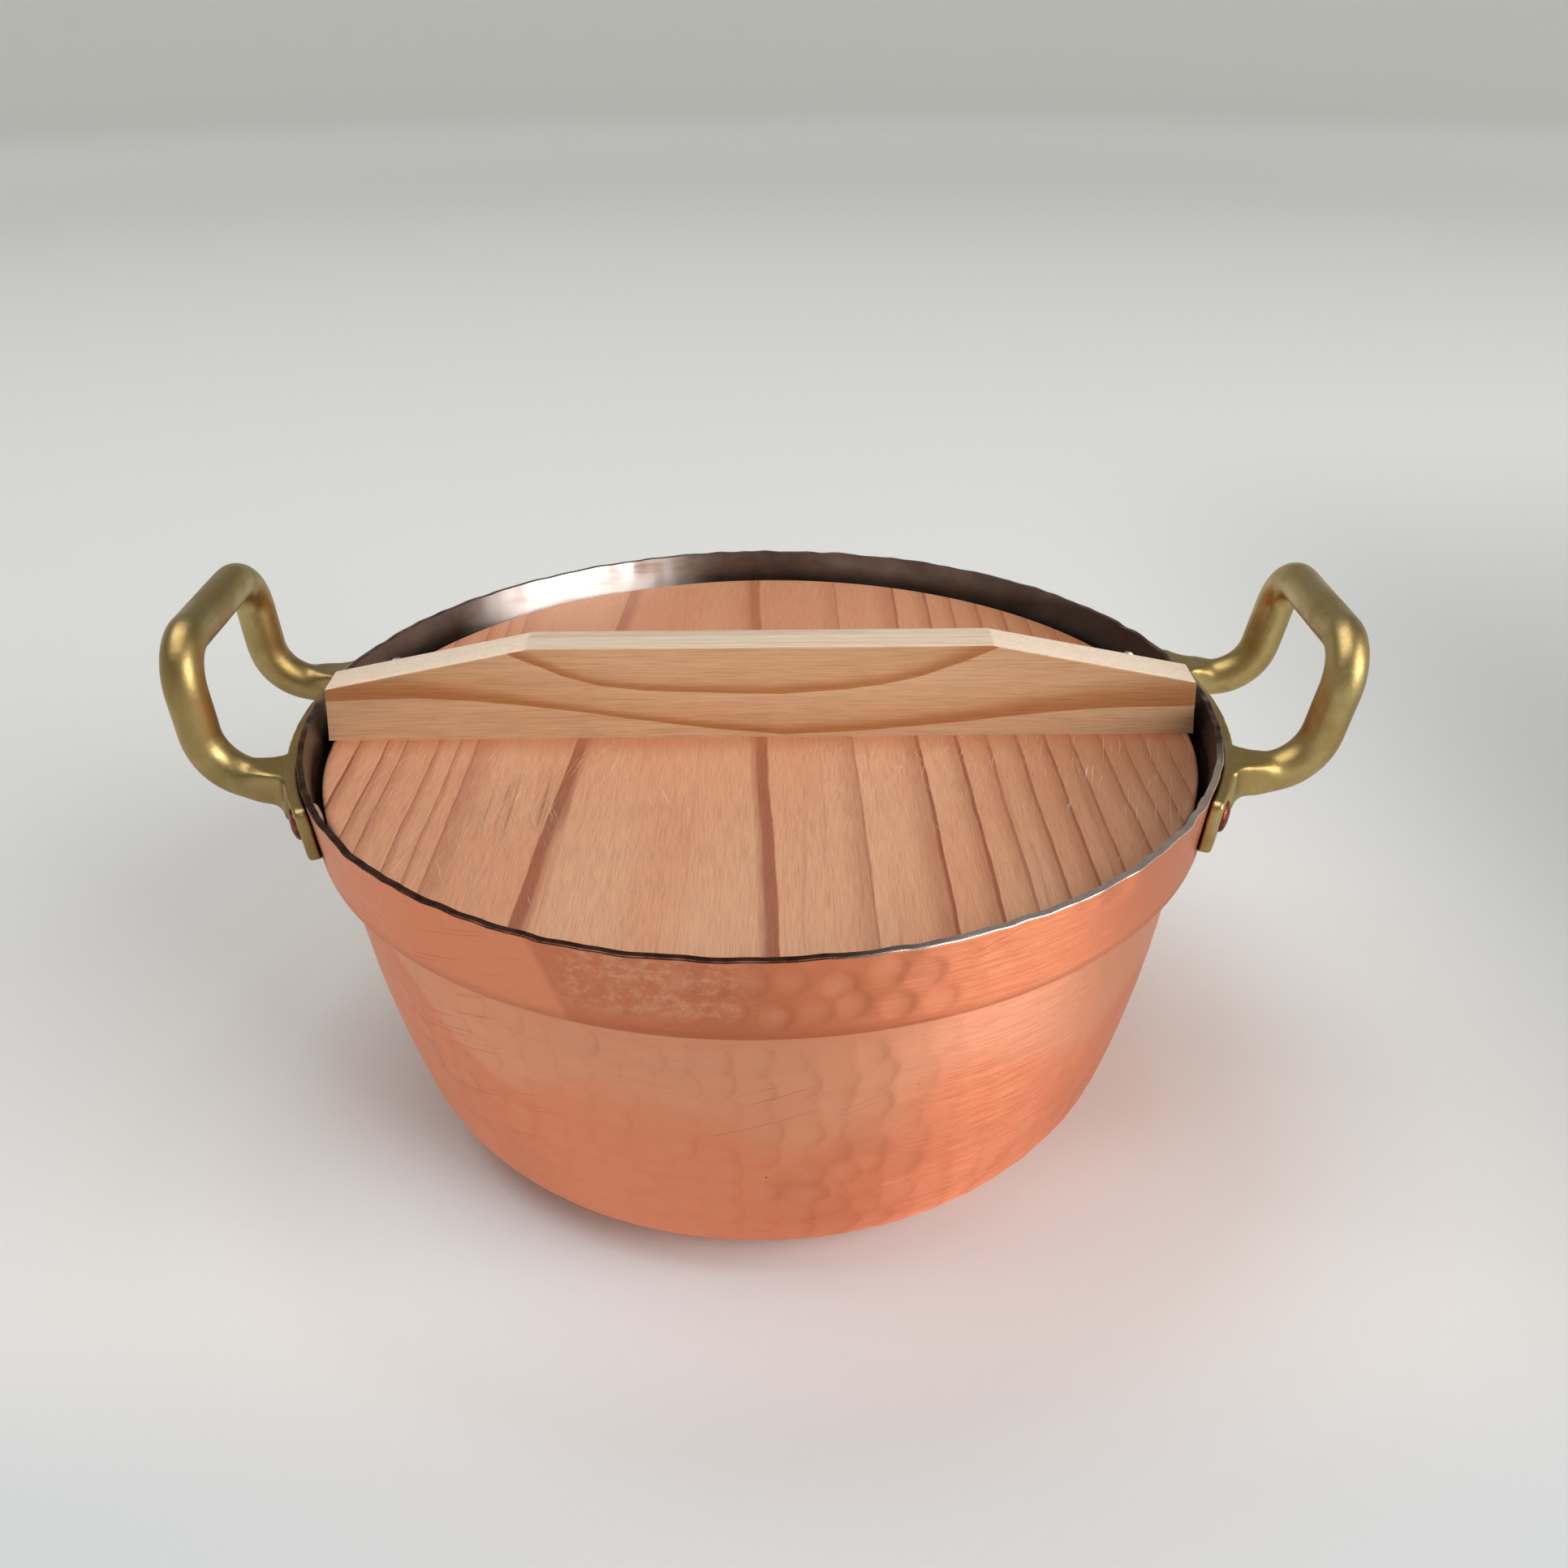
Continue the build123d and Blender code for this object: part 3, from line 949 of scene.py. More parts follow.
@dataclass(frozen=True)
class BarWood:
    """Flat-sawn softwood of the lid's bar, with the grain along X and two arched rings.

    The two rings' heights over the board are given in millimetres, from one end to the other.
    """

    name: str = "bar_wood"
    early: Colour = srgb(216, 170, 130)
    early_pale: Colour = srgb(222, 180, 140)
    late: Colour = srgb(180, 116, 66)
    face: Colour = srgb(208, 154, 108)
    # Colours of the bar's top: partly its own paler wood, partly painted light.
    edge: Colour = srgb(230, 208, 184)
    edge_line: Colour = srgb(212, 186, 158)
    # Colour of the painted highlight on the sloped ends of the bar.
    slope: Colour = srgb(250, 228, 206)
    flat_half_length: float = 51.2
    upper_ring: tuple[Point2, ...] = (
        (-100, 44), (-70, 28), (-53, 19.2), (-44, 15.2), (-36, 12.9), (-26, 11.6), (-10, 10.8),
        (5, 10.4), (18, 11.2), (27, 12.3), (36, 14.5), (45, 17.8), (52, 20.7), (70, 29), (100, 46),
    )
    lower_ring: tuple[Point2, ...] = (
        (-100, 9.3), (-77, 10.2), (-66, 9.4), (-54, 8.2), (-40, 6.2), (-27, 4.2), (-13, 2.2),
        (5, 0.3), (23, 1.0), (37, 2.3), (55, 4.4), (73, 6.2), (100, 6.8),
    )
    half_reach: float = 100.0
    height_reach: float = 50.0
    roughness: float = 0.5
    fibre_depth: float = 0.00006
    grain: WoodGrain = WoodGrain()

    def ring_height(self, pen: NodePen, x: Socket, ring: Sequence[Point2]) -> Socket:
        """Adds the curve of one ring's height over the board, in millimetres."""
        points = [
            (place / (2 * self.half_reach) + 0.5, height / self.height_reach)
            for place, height in ring
        ]
        share = pen.plus(pen.sum("DIVIDE", x, 2 * self.half_reach * MM), 0.5)
        return pen.times(pen.curve(share, points), self.height_reach)

    def material(self, board_top: float) -> bpy.types.Material:
        """Builds the bar's wood.

        Args:
            board_top: Height of the board's top, in metres.

        Returns:
            The material.
        """
        pen = NodePen(self.name)
        x, y, z = pen.axes()
        height = pen.sum("DIVIDE", pen.minus(z, board_top), MM)
        wander = pen.noise(pen.scaled((20, 60, 60)), detail=3)
        wander = pen.swung(wander, 1.6)
        height = pen.plus(height, wander)
        height = pen.plus(height, pen.times(y, 0.12 / MM))
        upper = self.ring_height(pen, x, self.upper_ring)
        lower = self.ring_height(pen, x, self.lower_ring)
        gap = pen.minus(upper, lower)
        count = pen.plus(pen.sum("DIVIDE", pen.minus(upper, height), gap), 2.0)
        phase = pen.sum("FRACT", pen.sum("MAXIMUM", count, 1.0))
        dark = pen.span(phase, 0.7, 0.95)
        soft = pen.sum("POWER", phase, 1.5)
        below = pen.span(count, 3.0, 3.05)
        fibres = self.grain.fibres(pen, along_x=True)
        streaks = self.grain.streaks(pen, along_x=True)
        colour = pen.blend(pen.span(streaks, 0.35, 0.7), self.early_pale, self.early)
        shade = pen.times(soft, pen.minus(1.0, below))
        colour = pen.layer(colour, self.face, shade, 0.85)
        line = pen.times(dark, pen.minus(1.0, below))
        colour = pen.layer(colour, self.late, line, 0.85)
        edge = pen.blend(pen.span(streaks, 0.4, 0.66), self.edge, self.edge_line)
        # Painted highlight on the sloped ends of the bar.
        beyond = pen.minus(pen.sum("ABSOLUTE", x), self.flat_half_length * MM)
        edge = pen.blend(pen.span(beyond, 0.0, MM, 0.0, 0.7), edge, self.slope)
        # The upward faces take the paler top colour, partly the top's own paler wood and partly
        # painted light.
        colour = pen.blend(pen.span(pen.facing_up(), 0.5, 0.8), colour, edge)
        colour = self.grain.shaded(pen, fibres, colour)
        rough = pen.span(fibres, 0.3, 0.7, self.roughness - 0.05, self.roughness + 0.08)
        normal = pen.relief(fibres, self.fibre_depth)
        return pen.finish(
            Base_Color=colour,
            Roughness=rough,
            Normal=normal,
            Specular_IOR_Level=self.grain.sheen,
        )


@dataclass(frozen=True)
class PaperFloor:
    """Matt pale paper under and behind the pot. Places are in metres."""

    name: str = "paper"
    colour: Colour = srgb(226, 226, 223)
    # Colour of the painted light on the floor just in front of the pot.
    painted_light_near_pot: Colour = srgb(240, 247, 249)
    # Colour of the painted shade towards the front of the floor.
    front: Colour = srgb(212, 216, 217)
    # Colour of the painted shadow on the floor at the right.
    painted_right_shadow: Colour = srgb(178, 180, 178)
    # Colour of the painted light on the far paper and the sweep.
    far: Colour = srgb(253, 253, 248)
    far_from: float = 1.6
    far_to: float = 2.6
    front_from: float = -0.085
    front_to: float = -0.14
    close_from: float = 0.125
    close_to: float = 0.08
    close_front_from: float = -0.02
    close_front_to: float = -0.06
    right_shadow_from: float = 0.11
    right_shadow_to: float = 0.3
    right_shadow_near: float = 0.05
    right_shadow_far: float = 0.6
    roughness: float = 0.9

    def material(self) -> bpy.types.Material:
        """Builds the paper."""
        pen = NodePen(self.name)
        tooth = pen.noise(pen.scaled((900, 900, 900)), detail=3)
        normal = pen.relief(tooth, 0.00004)
        x, y, _ = pen.axes()
        # Painted shadow on the floor at the right, strongest level with the pot.
        right = pen.span(x, self.right_shadow_from, self.right_shadow_to)
        middle = pen.span(pen.sum("ABSOLUTE", y), self.right_shadow_far, self.right_shadow_near)
        colour = pen.blend(pen.times(right, middle), self.colour, self.painted_right_shadow)
        # Painted shade: the floor is darker towards the front.
        colour = pen.blend(pen.span(y, self.front_from, self.front_to), colour, self.front)
        # Painted light on the floor just in front of the pot, cool against the copper's pink
        # bounce.
        square = pen.plus(pen.times(x, x), pen.times(y, y))
        distance = pen.sum("SQRT", square)
        close = pen.times(
            pen.span(distance, self.close_from, self.close_to),
            pen.span(y, self.close_front_from, self.close_front_to),
        )
        colour = pen.blend(close, colour, self.painted_light_near_pot)
        # Painted light: the far paper and the sweep are whiter, where the lamps' light falls off.
        colour = pen.blend(pen.span(distance, self.far_from, self.far_to), colour, self.far)
        return pen.finish(Base_Color=colour, Roughness=self.roughness, Normal=normal)


def linked(name: str, data: bpy.types.ID) -> bpy.types.Object:
    """Makes an object of some data and puts it in the scene."""
    holder = bpy.data.objects.new(name, data)
    bpy.context.scene.collection.objects.link(holder)
    return holder


def evaluated(holder: bpy.types.Object) -> bmesh.types.BMesh:
    """Gives an object's mesh with its modifiers applied."""
    bpy.context.view_layer.update()
    graph = bpy.context.evaluated_depsgraph_get()
    result = bmesh.new()
    result.from_mesh(holder.evaluated_get(graph).to_mesh())
    return result


def verts_in(items: Iterable[object]) -> list[bmesh.types.BMVert]:
    """Picks the points out of what an operator gives back."""
    return [item for item in items if isinstance(item, bmesh.types.BMVert)]


def drop(holder: bpy.types.Object) -> None:
    """Removes a working object and its mesh."""
    data = holder.data
    bpy.data.objects.remove(holder)
    bpy.data.meshes.remove(data)


def spun(mesh: bmesh.types.BMesh, points: Iterable[bmesh.types.BMVert], steps: int) -> None:
    """Spins a line of points about the Z axis into a closed skin.

    Args:
        mesh: The mesh that the skin goes into.
        points: The line's points, already in the mesh, in order.
        steps: How many steps go round.
    """
    line = list(points)
    edges = [mesh.edges.new(pair) for pair in zip(line, line[1:])]
    bmesh.ops.spin(
        mesh,
        geom=[*line, *edges],
        cent=(0, 0, 0),
        axis=(0, 0, 1),
        angle=2 * pi,
        steps=steps,
        use_merge=True,
    )


def eased(
    mesh: bmesh.types.BMesh,
    edges: Iterable[bmesh.types.BMEdge],
    offset: float,
    segments: int,
    material: int = -1,
) -> None:
    """Rounds some edges.

    Args:
        mesh: The mesh that is worked on.
        edges: Its edges to round.
        offset: Size of the round, in the mesh's own unit.
        segments: How many faces go across it.
        material: Material index of the new faces, or -1 for that of their neighbours.
    """
    bmesh.ops.bevel(
        mesh,
        geom=list(edges),
        offset=offset,
        segments=segments,
        profile=0.5,
        affect="EDGES",
        material=material,
    )


def settle(
    mesh: bmesh.types.BMesh,
    name: str,
    body: Body,
    slot: str,
    materials: Sequence[bpy.types.Material],
    nodes: Iterable[str],
    smooth_below: float = 35.0,
) -> bpy.types.Object:
    """Turns a finished bmesh into a piece of the frame.

    Args:
        mesh: The finished mesh, in metres and in place.
        name: Name of the piece.
        body: The body that it rides on.
        slot: The record's material slot. It is not used.
        materials: Its materials, by material index.
        nodes: The CAD nodes that it stands for.
        smooth_below: Edges sharper than this many degrees stay sharp.

    Returns:
        The piece's object.
    """
    bmesh.ops.recalc_face_normals(mesh, faces=mesh.faces)
    for face in mesh.faces:
        face.smooth = True
    data = bpy.data.meshes.new(name)
    mesh.to_mesh(data)
    mesh.free()
    data.set_sharp_from_angle(angle=radians(smooth_below))
    for material in materials:
        data.materials.append(material)
    piece = linked(name, data)
    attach(piece, body.value)
    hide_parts(*nodes)
    triangles = sum(len(polygon.vertices) - 2 for polygon in data.polygons)
    LOG.info("%s: %d triangles on %s", name, triangles, body.value)
    return piece


def combined(first: bmesh.types.BMesh, second: bmesh.types.BMesh, kind: str) -> bmesh.types.BMesh:
    """Joins or cuts one closed mesh with another.

    Args:
        first: The mesh that is worked on. It is freed.
        second: The mesh that is added or taken away. It is freed.
        kind: UNION or DIFFERENCE.

    Returns:
        The new mesh.
    """
    objects = []
    for mesh in (first, second):
        bmesh.ops.recalc_face_normals(mesh, faces=mesh.faces)
        data = bpy.data.meshes.new("work")
        mesh.to_mesh(data)
        mesh.free()
        objects.append(linked("work", data))
    modifier = objects[0].modifiers.new("cut", "BOOLEAN")
    modifier.operation = kind
    modifier.solver = "EXACT"
    modifier.object = objects[1]
    result = evaluated(objects[0])
    for holder in objects:
        drop(holder)
    return result


def cast(meshes: Sequence[bmesh.types.BMesh], grain: float, rounds: int) -> bmesh.types.BMesh:
    """Makes one even skin over some meshes and softens its corners, as casting and tumbling do.

    Args:
        meshes: The meshes, which overlap. They are freed.
        grain: Size of the new faces, in the meshes' own unit.
        rounds: How many rounds of smoothing the skin gets.

    Returns:
        The new mesh.
    """
    data = bpy.data.meshes.new("work")
    whole = bmesh.new()
    for mesh in meshes:
        bmesh.ops.recalc_face_normals(mesh, faces=mesh.faces)
        mesh.to_mesh(data)
        mesh.free()
        whole.from_mesh(data)
    whole.to_mesh(data)
    whole.free()
    holder = linked("work", data)
    skin = holder.modifiers.new("skin", "REMESH")
    skin.mode = "VOXEL"
    skin.voxel_size = grain
    soften = holder.modifiers.new("soften", "SMOOTH")
    soften.factor = 0.5
    soften.iterations = rounds
    result = evaluated(holder)
    drop(holder)
    return result


@dataclass(frozen=True)
class Rounding:
    """A run along a line that turns its corners on arcs."""

    corners: tuple[Vector, ...]
    radii: tuple[float, ...]
    step: float

    def stations(self) -> list[tuple[Vector, Vector]]:
        """Gives evenly spaced places and directions along the run, ends included."""
        stations: list[tuple[Vector, Vector]] = []
        start = self.corners[0]
        for before, corner, after, radius in zip(
            self.corners, self.corners[1:], self.corners[2:], self.radii
        ):
            come = (corner - before).normalized()
            leave = (after - corner).normalized()
            turn = come.angle(leave)
            cut = radius * tan(turn / 2)
            self.straight(stations, start, corner - come * cut)
            inward = (leave - come).normalized()
            centre = corner + inward * (radius / cos(turn / 2))
            axis = come.cross(leave).normalized()
            steps = max(4, ceil(radius * turn / self.step))
            arm = corner - come * cut - centre
            for count in range(1, steps + 1):
                spin = Matrix.Rotation(turn * count / steps, 3, axis)
                stations.append((centre + spin @ arm, spin @ come))
            start = corner + leave * cut
        self.straight(stations, start, self.corners[-1])
        return stations

    def straight(
        self, stations: list[tuple[Vector, Vector]], start: Vector, end: Vector
    ) -> None:
        """Adds the places of a straight stretch, without one that is there already."""
        way = end - start
        steps = max(1, ceil(way.length / self.step))
        first = 0 if not stations else 1
        for count in range(first, steps + 1):
            stations.append((start + way * (count / steps), way.normalized()))


@dataclass(frozen=True)
class Pot:
    """The pot's outline, in millimetres, as radius and height."""

    rim_radius: float
    height: float
    band_height: float = 19.3
    band_draw_in: float = 2.4
    band_foot_round: float = 2.4
    step_width: float = 4.2
    base_flat_radius: float = 58.4
    base_corner_radius: float = 27.4
    base_corner_turn: float = 73.4
    copper: float = 1.3
    tin: float = 0.2

    @property
    def step_z(self) -> float:
        """Height of the step's underside."""
        return self.height - self.band_height

    @property
    def foot_radius(self) -> float:
        """Outside radius at the foot of the band."""
        return self.rim_radius - self.band_draw_in

    @property
    def bowl_radius(self) -> float:
        """Outside radius at the top of the bowl."""
        return self.foot_radius - self.step_width

    @property
    def slope(self) -> float:
        """How far the band leans, in radians."""
        return atan2(self.band_draw_in, self.band_height)

    def band_radius(self, z: float) -> float:
        """Outside radius of the band at a height."""
        return self.foot_radius + self.band_draw_in * (z - self.step_z) / self.band_height

    def outline(self) -> list[Callable[[float], Point2]]:
        """Gives the outline's stretches from the middle of the base to the rim.

        Returns:
            Functions from a share of 0 to 1 along each stretch to a radius and a height.
        """
        turn = radians(self.base_corner_turn)
        corner = self.base_corner_radius
        flat = self.base_flat_radius
        knee = (flat + corner * sin(turn), corner - corner * cos(turn))
        top = (self.bowl_radius, self.step_z)
        chord = atan2(top[1] - knee[1], top[0] - knee[0])
        bend = 2 * (chord - turn)
        length = hypot(top[0] - knee[0], top[1] - knee[1])
        wall_radius = length / 2 / sin(bend / 2)
        wall_centre = (knee[0] - wall_radius * sin(turn), knee[1] + wall_radius * cos(turn))
        lean = pi / 2 - self.slope
        foot = self.band_foot_round
        cut = foot * tan(lean / 2)
        foot_start = (self.foot_radius - cut, self.step_z)
        rim = (self.rim_radius, self.height)
        foot_end = (self.foot_radius + cut * cos(lean), self.step_z + cut * sin(lean))

        def line(start: Point2, end: Point2) -> Callable[[float], Point2]:
            """Gives a straight stretch."""
            return lambda t: tuple(a + (b - a) * t for a, b in zip(start, end))

        def arc(
            centre: Point2, radius: float, start: float, sweep: float
        ) -> Callable[[float], Point2]:
            """Gives a round stretch, with angles from straight down."""
            return lambda t: (
                centre[0] + radius * sin(start + sweep * t),
                centre[1] - radius * cos(start + sweep * t),
            )

        return [
            line((0, 0), (flat, 0)),
            arc((flat, corner), corner, 0, turn),
            arc(wall_centre, wall_radius, turn, bend),
            line(top, foot_start),
            arc((foot_start[0], self.step_z + foot), foot, 0, lean),
            line(foot_end, rim),
        ]


@dataclass(frozen=True)
class Ring:
    """One ring of a wall: its place on the outline, its normal and its run from the base."""

    radius: float
    z: float
    out_radius: float
    out_z: float
    run: float


@dataclass(frozen=True)
class Mark:
    """One hammer mark, in millimetres: its place, its size, and how it hollows the wall."""

    angle: float
    run: float
    size: float
    depth: float
    tilt: float
    edge: float
    power: float
    order: float


@dataclass
class Hammering:
    """Overlapping hammer marks over the bowl and the band, and the rim's unevenness.

    Lengths are in millimetres. Later marks lie over earlier ones, as blows do.
    """

    pot: Pot
    seed: int = 11
    column: float = 7.2
    row: float = 6.4
    mark_radius: float = 4.7
    mark_depth: float = 0.3
    mark_tilt: float = 0.05
    edge_width: float = 1.1
    band_mark_radius: float = 3.9
    band_mark_depth: float = 0.36
    band_mark_tilt: float = 0.16
    band_edge_width: float = 0.7
    shading_edge: float = 0.6
    mark_glow: float = 0.5
    rim_swing: float = 0.34
    rim_rise: float = 0.34
    rim_wave: float = 5.0
    band_rows: tuple[float, ...] = (11.8, 5.4)
    stray: float = 0.24
    marks: list["Mark"] = field(default_factory=list)
    tree: Optional[KDTree] = None

    def strength(self, angle: float, run: float) -> float:
        """Gives how deep the marks are round the pot, since the brushing wore some of them away."""
        place = Vector((cos(angle) * 1.7, sin(angle) * 1.7, run * 0.018 + 3.0))
        return clamp(0.62 + 0.75 * noise.noise(place), 0.22, 1.0)

    def band_strength(self, angle: float) -> float:
        """Gives how deep the band's marks are, strongest a little right of the front."""
        turn = atan2(sin(angle + pi / 2), cos(angle + pi / 2))
        front = ease(1.25 - abs(turn - radians(4)) / radians(25))
        back = ease(1 - abs(abs(turn) - radians(165)) / radians(38))
        return 0.08 + 0.78 * max(front, 0.7 * back)

    def strike(self, rings: Sequence[Ring]) -> None:
        """Places every hammer mark.

        Args:
            rings: The rings of the outside wall, from the base up.
        """
        draw = Random(self.seed)
        top_of_bowl = max(ring.run for ring in rings if ring.z <= self.pot.step_z - 0.01)
        start = next(ring.run for ring in rings if ring.radius > self.pot.base_flat_radius)
        rim_run = rings[-1].run
        bowl_rows = floor((top_of_bowl - start) / self.row)
        rows = [(False, start + self.row * count) for count in range(bowl_rows)]
        rows += [(True, rim_run - below) for below in self.band_rows]
        for on_band, run in rows:
            lower = on_band and run < rim_run - self.band_rows[1] - 1
            ring = min(rings, key=lambda ring: abs(ring.run - run))
            count = round(2 * pi * ring.radius / self.column)
            for number in range(count):
                shift = draw.uniform(-self.stray, self.stray) + (0.5 if lower else 0.0)
                angle = -pi / 2 + 2 * pi * (number + shift) / count
                self.marks.append(self.blow(draw, on_band, angle, run))
        self.marks.sort(key=lambda mark: mark.order)
        self.tree = KDTree(len(self.marks))
        for number, mark in enumerate(self.marks):
            radius = min(rings, key=lambda ring: abs(ring.run - mark.run)).radius
            self.tree.insert(
                Vector((cos(mark.angle) * radius, sin(mark.angle) * radius, mark.run)), number
            )
        self.tree.balance()

    def blow(self, draw: Random, on_band: bool, angle: float, run: float) -> Mark:
        """Makes one mark, a little different from the others.

        Args:
            draw: Gives the differences.
            on_band: Whether the mark is on the band or on the bowl.
            angle: Its angle round the pot.
            run: Its distance from the middle of the base, along the outline.

        Returns:
            The mark.
        """
        power = self.band_strength(angle) if on_band else self.strength(angle, run)
        power *= draw.uniform(0.35, 1.15)
        radius = self.band_mark_radius if on_band else self.mark_radius
        return Mark(
            angle=angle,
            run=run + draw.uniform(-1.4, 1.4),
            size=radius * draw.uniform(0.84, 1.12),
            depth=(self.band_mark_depth if on_band else self.mark_depth) * power,
            tilt=(self.band_mark_tilt if on_band else self.mark_tilt) * power,
            edge=self.band_edge_width if on_band else self.edge_width,
            power=power,
            order=draw.random(),
        )

    def height(self, angle: float, ring: Ring) -> Point2:
        """Gives how far the surface lies outside the plain outline, in millimetres.

        Args:
            angle: Angle round the pot.
            ring: The ring of the wall.

        Returns:
            The height, which is below zero in a mark, and the mark's painted shading there,
            from a painted highlight a little below zero in its middle to painted shade of 1 at its
            right edge.
        """
        place = Vector((cos(angle) * ring.radius, sin(angle) * ring.radius, ring.run))
        reach = self.mark_radius * 1.15
        near = sorted(number for _, number, _ in self.tree.find_range(place, reach))
        height = 0.0
        painted_shading = 0.0
        for number in near:
            mark = self.marks[number]
            swing = atan2(sin(angle - mark.angle), cos(angle - mark.angle))
            across = swing * ring.radius
            far = hypot(across, ring.run - mark.run)
            if far >= mark.size:
                continue
            share = far / mark.size
            hollow = -mark.depth * (1 - 0.8 * share * share) - mark.tilt * across / mark.size
            weight = ease((mark.size - far) / mark.edge)
            height += (hollow - height) * weight
            # Painted shading of the mark: painted shade growing towards its right edge, a painted
            # highlight in its middle.
            rightward = clamp(0.15 + across / max(far, 0.5))
            tone = mark.power * (rightward * share**4 - self.mark_glow * (1 - share))
            painted_shading += (tone - painted_shading) * ease((mark.size - far) / self.shading_edge)
        return height, painted_shading

    def rim_shift(self, angle: float, ring: Ring) -> Point2:
        """Gives how far the rim's unevenness moves a ring outwards and upwards."""
        below = self.pot.height - ring.z
        weight = ease(1 - below / 7.0)
        if weight <= 0:
            return 0.0, 0.0
        turn = self.pot.rim_radius / self.rim_wave
        place = Vector((cos(angle) * turn, sin(angle) * turn, 0.0))
        swing = noise.noise(place) * self.rim_swing
        rise = (noise.noise(place + Vector((0, 0, 7.3))) - 0.35) * self.rim_rise
        return swing * weight, rise * weight


@dataclass
class PotWalls:
    """Builds the copper body and its tin lining from one outline and one set of hammer marks."""

    pot: Pot
    hammering: Hammering
    segments: int = 600
    quick_segments: int = 240
    tin_segments: int = 360
    crowding: float = 0.18
    band_step: float = 0.72
    bowl_step: float = 1.12
    coarse_step: float = 6.0
    tin_step: float = 2.0
    rim_round: float = 0.3

    def rings(self, bowl_step: float, band_step: float, offset: float) -> list[Ring]:
        """Samples the outline into rings.

        Args:
            bowl_step: Space between rings on the bowl, in millimetres.
            band_step: Space between rings on the band.
            offset: How far inside the outline the rings lie.

        Returns:
            The rings, from the middle of the base to the rim.
        """
        places: list[Point2] = []
        for number, stretch in enumerate(self.pot.outline()):
            (r0, z0), (rm, zm), (r1, z1) = stretch(0), stretch(0.5), stretch(1)
            length = hypot(rm - r0, zm - z0) + hypot(r1 - rm, z1 - zm)
            spacing = bowl_step if stretch(0.5)[1] < self.pot.step_z - 1 else band_step
            if number == 0:
                spacing = self.pot.base_flat_radius / 3
            steps = max(2, ceil(length / spacing))
            first = 0 if not places else 1
            places += [stretch(count / steps) for count in range(first, steps + 1)]
        rings: list[Ring] = []
        run = 0.0
        for number, (radius, z) in enumerate(places):
            before = places[max(0, number - 1)]
            after = places[min(len(places) - 1, number + 1)]
            if number:
                run += hypot(radius - before[0], z - before[1])
            way = hypot(after[0] - before[0], after[1] - before[1])
            out = ((after[1] - before[1]) / way, (before[0] - after[0]) / way)
            inner = max(0.0, radius - out[0] * offset)
            level = min(z - out[1] * offset, self.pot.height)
            rings.append(Ring(inner, level, out[0], out[1], run))
        return rings

    def lathe(
        self, layers: Sequence[tuple[Sequence[Ring], float]], segments: int, rounded: bool
    ) -> bmesh.types.BMesh:
        """Spins rings into a wall and moves every point by the hammering.

        Args:
            layers: Rings of the outer and the inner skin, each with its share of the hammering.
            segments: How many steps go round.
            rounded: Whether the rim's outer edge is rounded.

        Returns:
            The wall, in metres.
        """
        mesh = bmesh.new()
        layer_key = mesh.verts.layers.int.new("layer")
        ring_key = mesh.verts.layers.int.new("ring")
        shading_key = mesh.verts.layers.float.new(SHADING_ATTRIBUTE)
        chain = []
        order = [(0, number) for number in range(len(layers[0][0]))]
        order += [(1, number) for number in reversed(range(len(layers[1][0])))]
        for layer, number in order:
            ring = layers[layer][0][number]
            vert = mesh.verts.new((ring.radius * MM, 0, ring.z * MM))
            vert[layer_key] = layer
            vert[ring_key] = number
            chain.append(vert)
        spun(mesh, chain, segments)
        for vert in mesh.verts:
            rings, share = layers[vert[layer_key]]
            ring = rings[vert[ring_key]]
            if ring.radius < 1e-6:
                continue
            angle = self.crowded(atan2(vert.co.y, vert.co.x))
            height, painted_shading = self.hammering.height(angle, ring)
            height *= share
            # Keeps each point's painted shading for the copper's colour.
            vert[shading_key] = painted_shading * share
            swing, rise = self.hammering.rim_shift(angle, ring)
            radius = ring.radius + ring.out_radius * height + swing
            z = ring.z + ring.out_z * height + rise
            vert.co = Vector((cos(angle) * radius, sin(angle) * radius, z)) * MM
        bmesh.ops.remove_doubles(mesh, verts=mesh.verts, dist=1e-7)
        for face in mesh.faces:
            on_rim = {vert[layer_key] for vert in face.verts} == {0, 1}
            face.material_index = 1 if on_rim and face.calc_center_median().z > 0.01 else 0
        if rounded:
            self.round_rim(mesh, len(layers[0][0]) - 1, layer_key, ring_key)
        return mesh

    def crowded(self, angle: float) -> float:
        """Moves an angle so that steps lie closer at the front and rear than at the handles."""
        return angle + self.crowding * sin(2 * angle)

    def round_rim(
        self,
        mesh: bmesh.types.BMesh,
        last: int,
        layer_key: bmesh.types.BMLayerItem,
        ring_key: bmesh.types.BMLayerItem,
    ) -> None:
        """Rounds the outer edge of the rim.

        Args:
            mesh: The wall.
            last: Number of the outer skin's last ring.
            layer_key: Layer that tells which skin a point is on.
            ring_key: Layer that tells a point's ring.
        """
        top = {vert for vert in mesh.verts if vert[layer_key] == 0 and vert[ring_key] == last}
        edges = [edge for edge in mesh.edges if edge.verts[0] in top and edge.verts[1] in top]
        eased(mesh, edges, self.rim_round * MM, segments=3, material=1)

    def build(
        self, copper: bpy.types.Material, edge: bpy.types.Material, tin: bpy.types.Material
    ) -> None:
        """Builds and dresses both walls.

        Args:
            copper: Material of the body.
            edge: Material of the rim's cut edge.
            tin: Material of the lining.
        """
        segments = self.segments
        tin_segments = self.tin_segments
        outside = self.rings(self.bowl_step, self.band_step, 0.0)
        self.hammering.strike(outside)
        back = self.rings(self.coarse_step, self.coarse_step, self.pot.copper)
        body = self.lathe([(outside, 1.0), (back, 0.5)], segments, True)
        settle(body, "copper_body", Body.POT, "copper", [copper, edge], ["pot_body"], 55)
        inside = self.rings(self.tin_step, self.tin_step, self.pot.copper + self.pot.tin)
        lining = self.lathe([(back, 0.5), (inside, 0.5)], tin_segments, False)
        settle(lining, "tin_inside", Body.POT, "tin", [tin, edge], ["tin_lining"], 55)


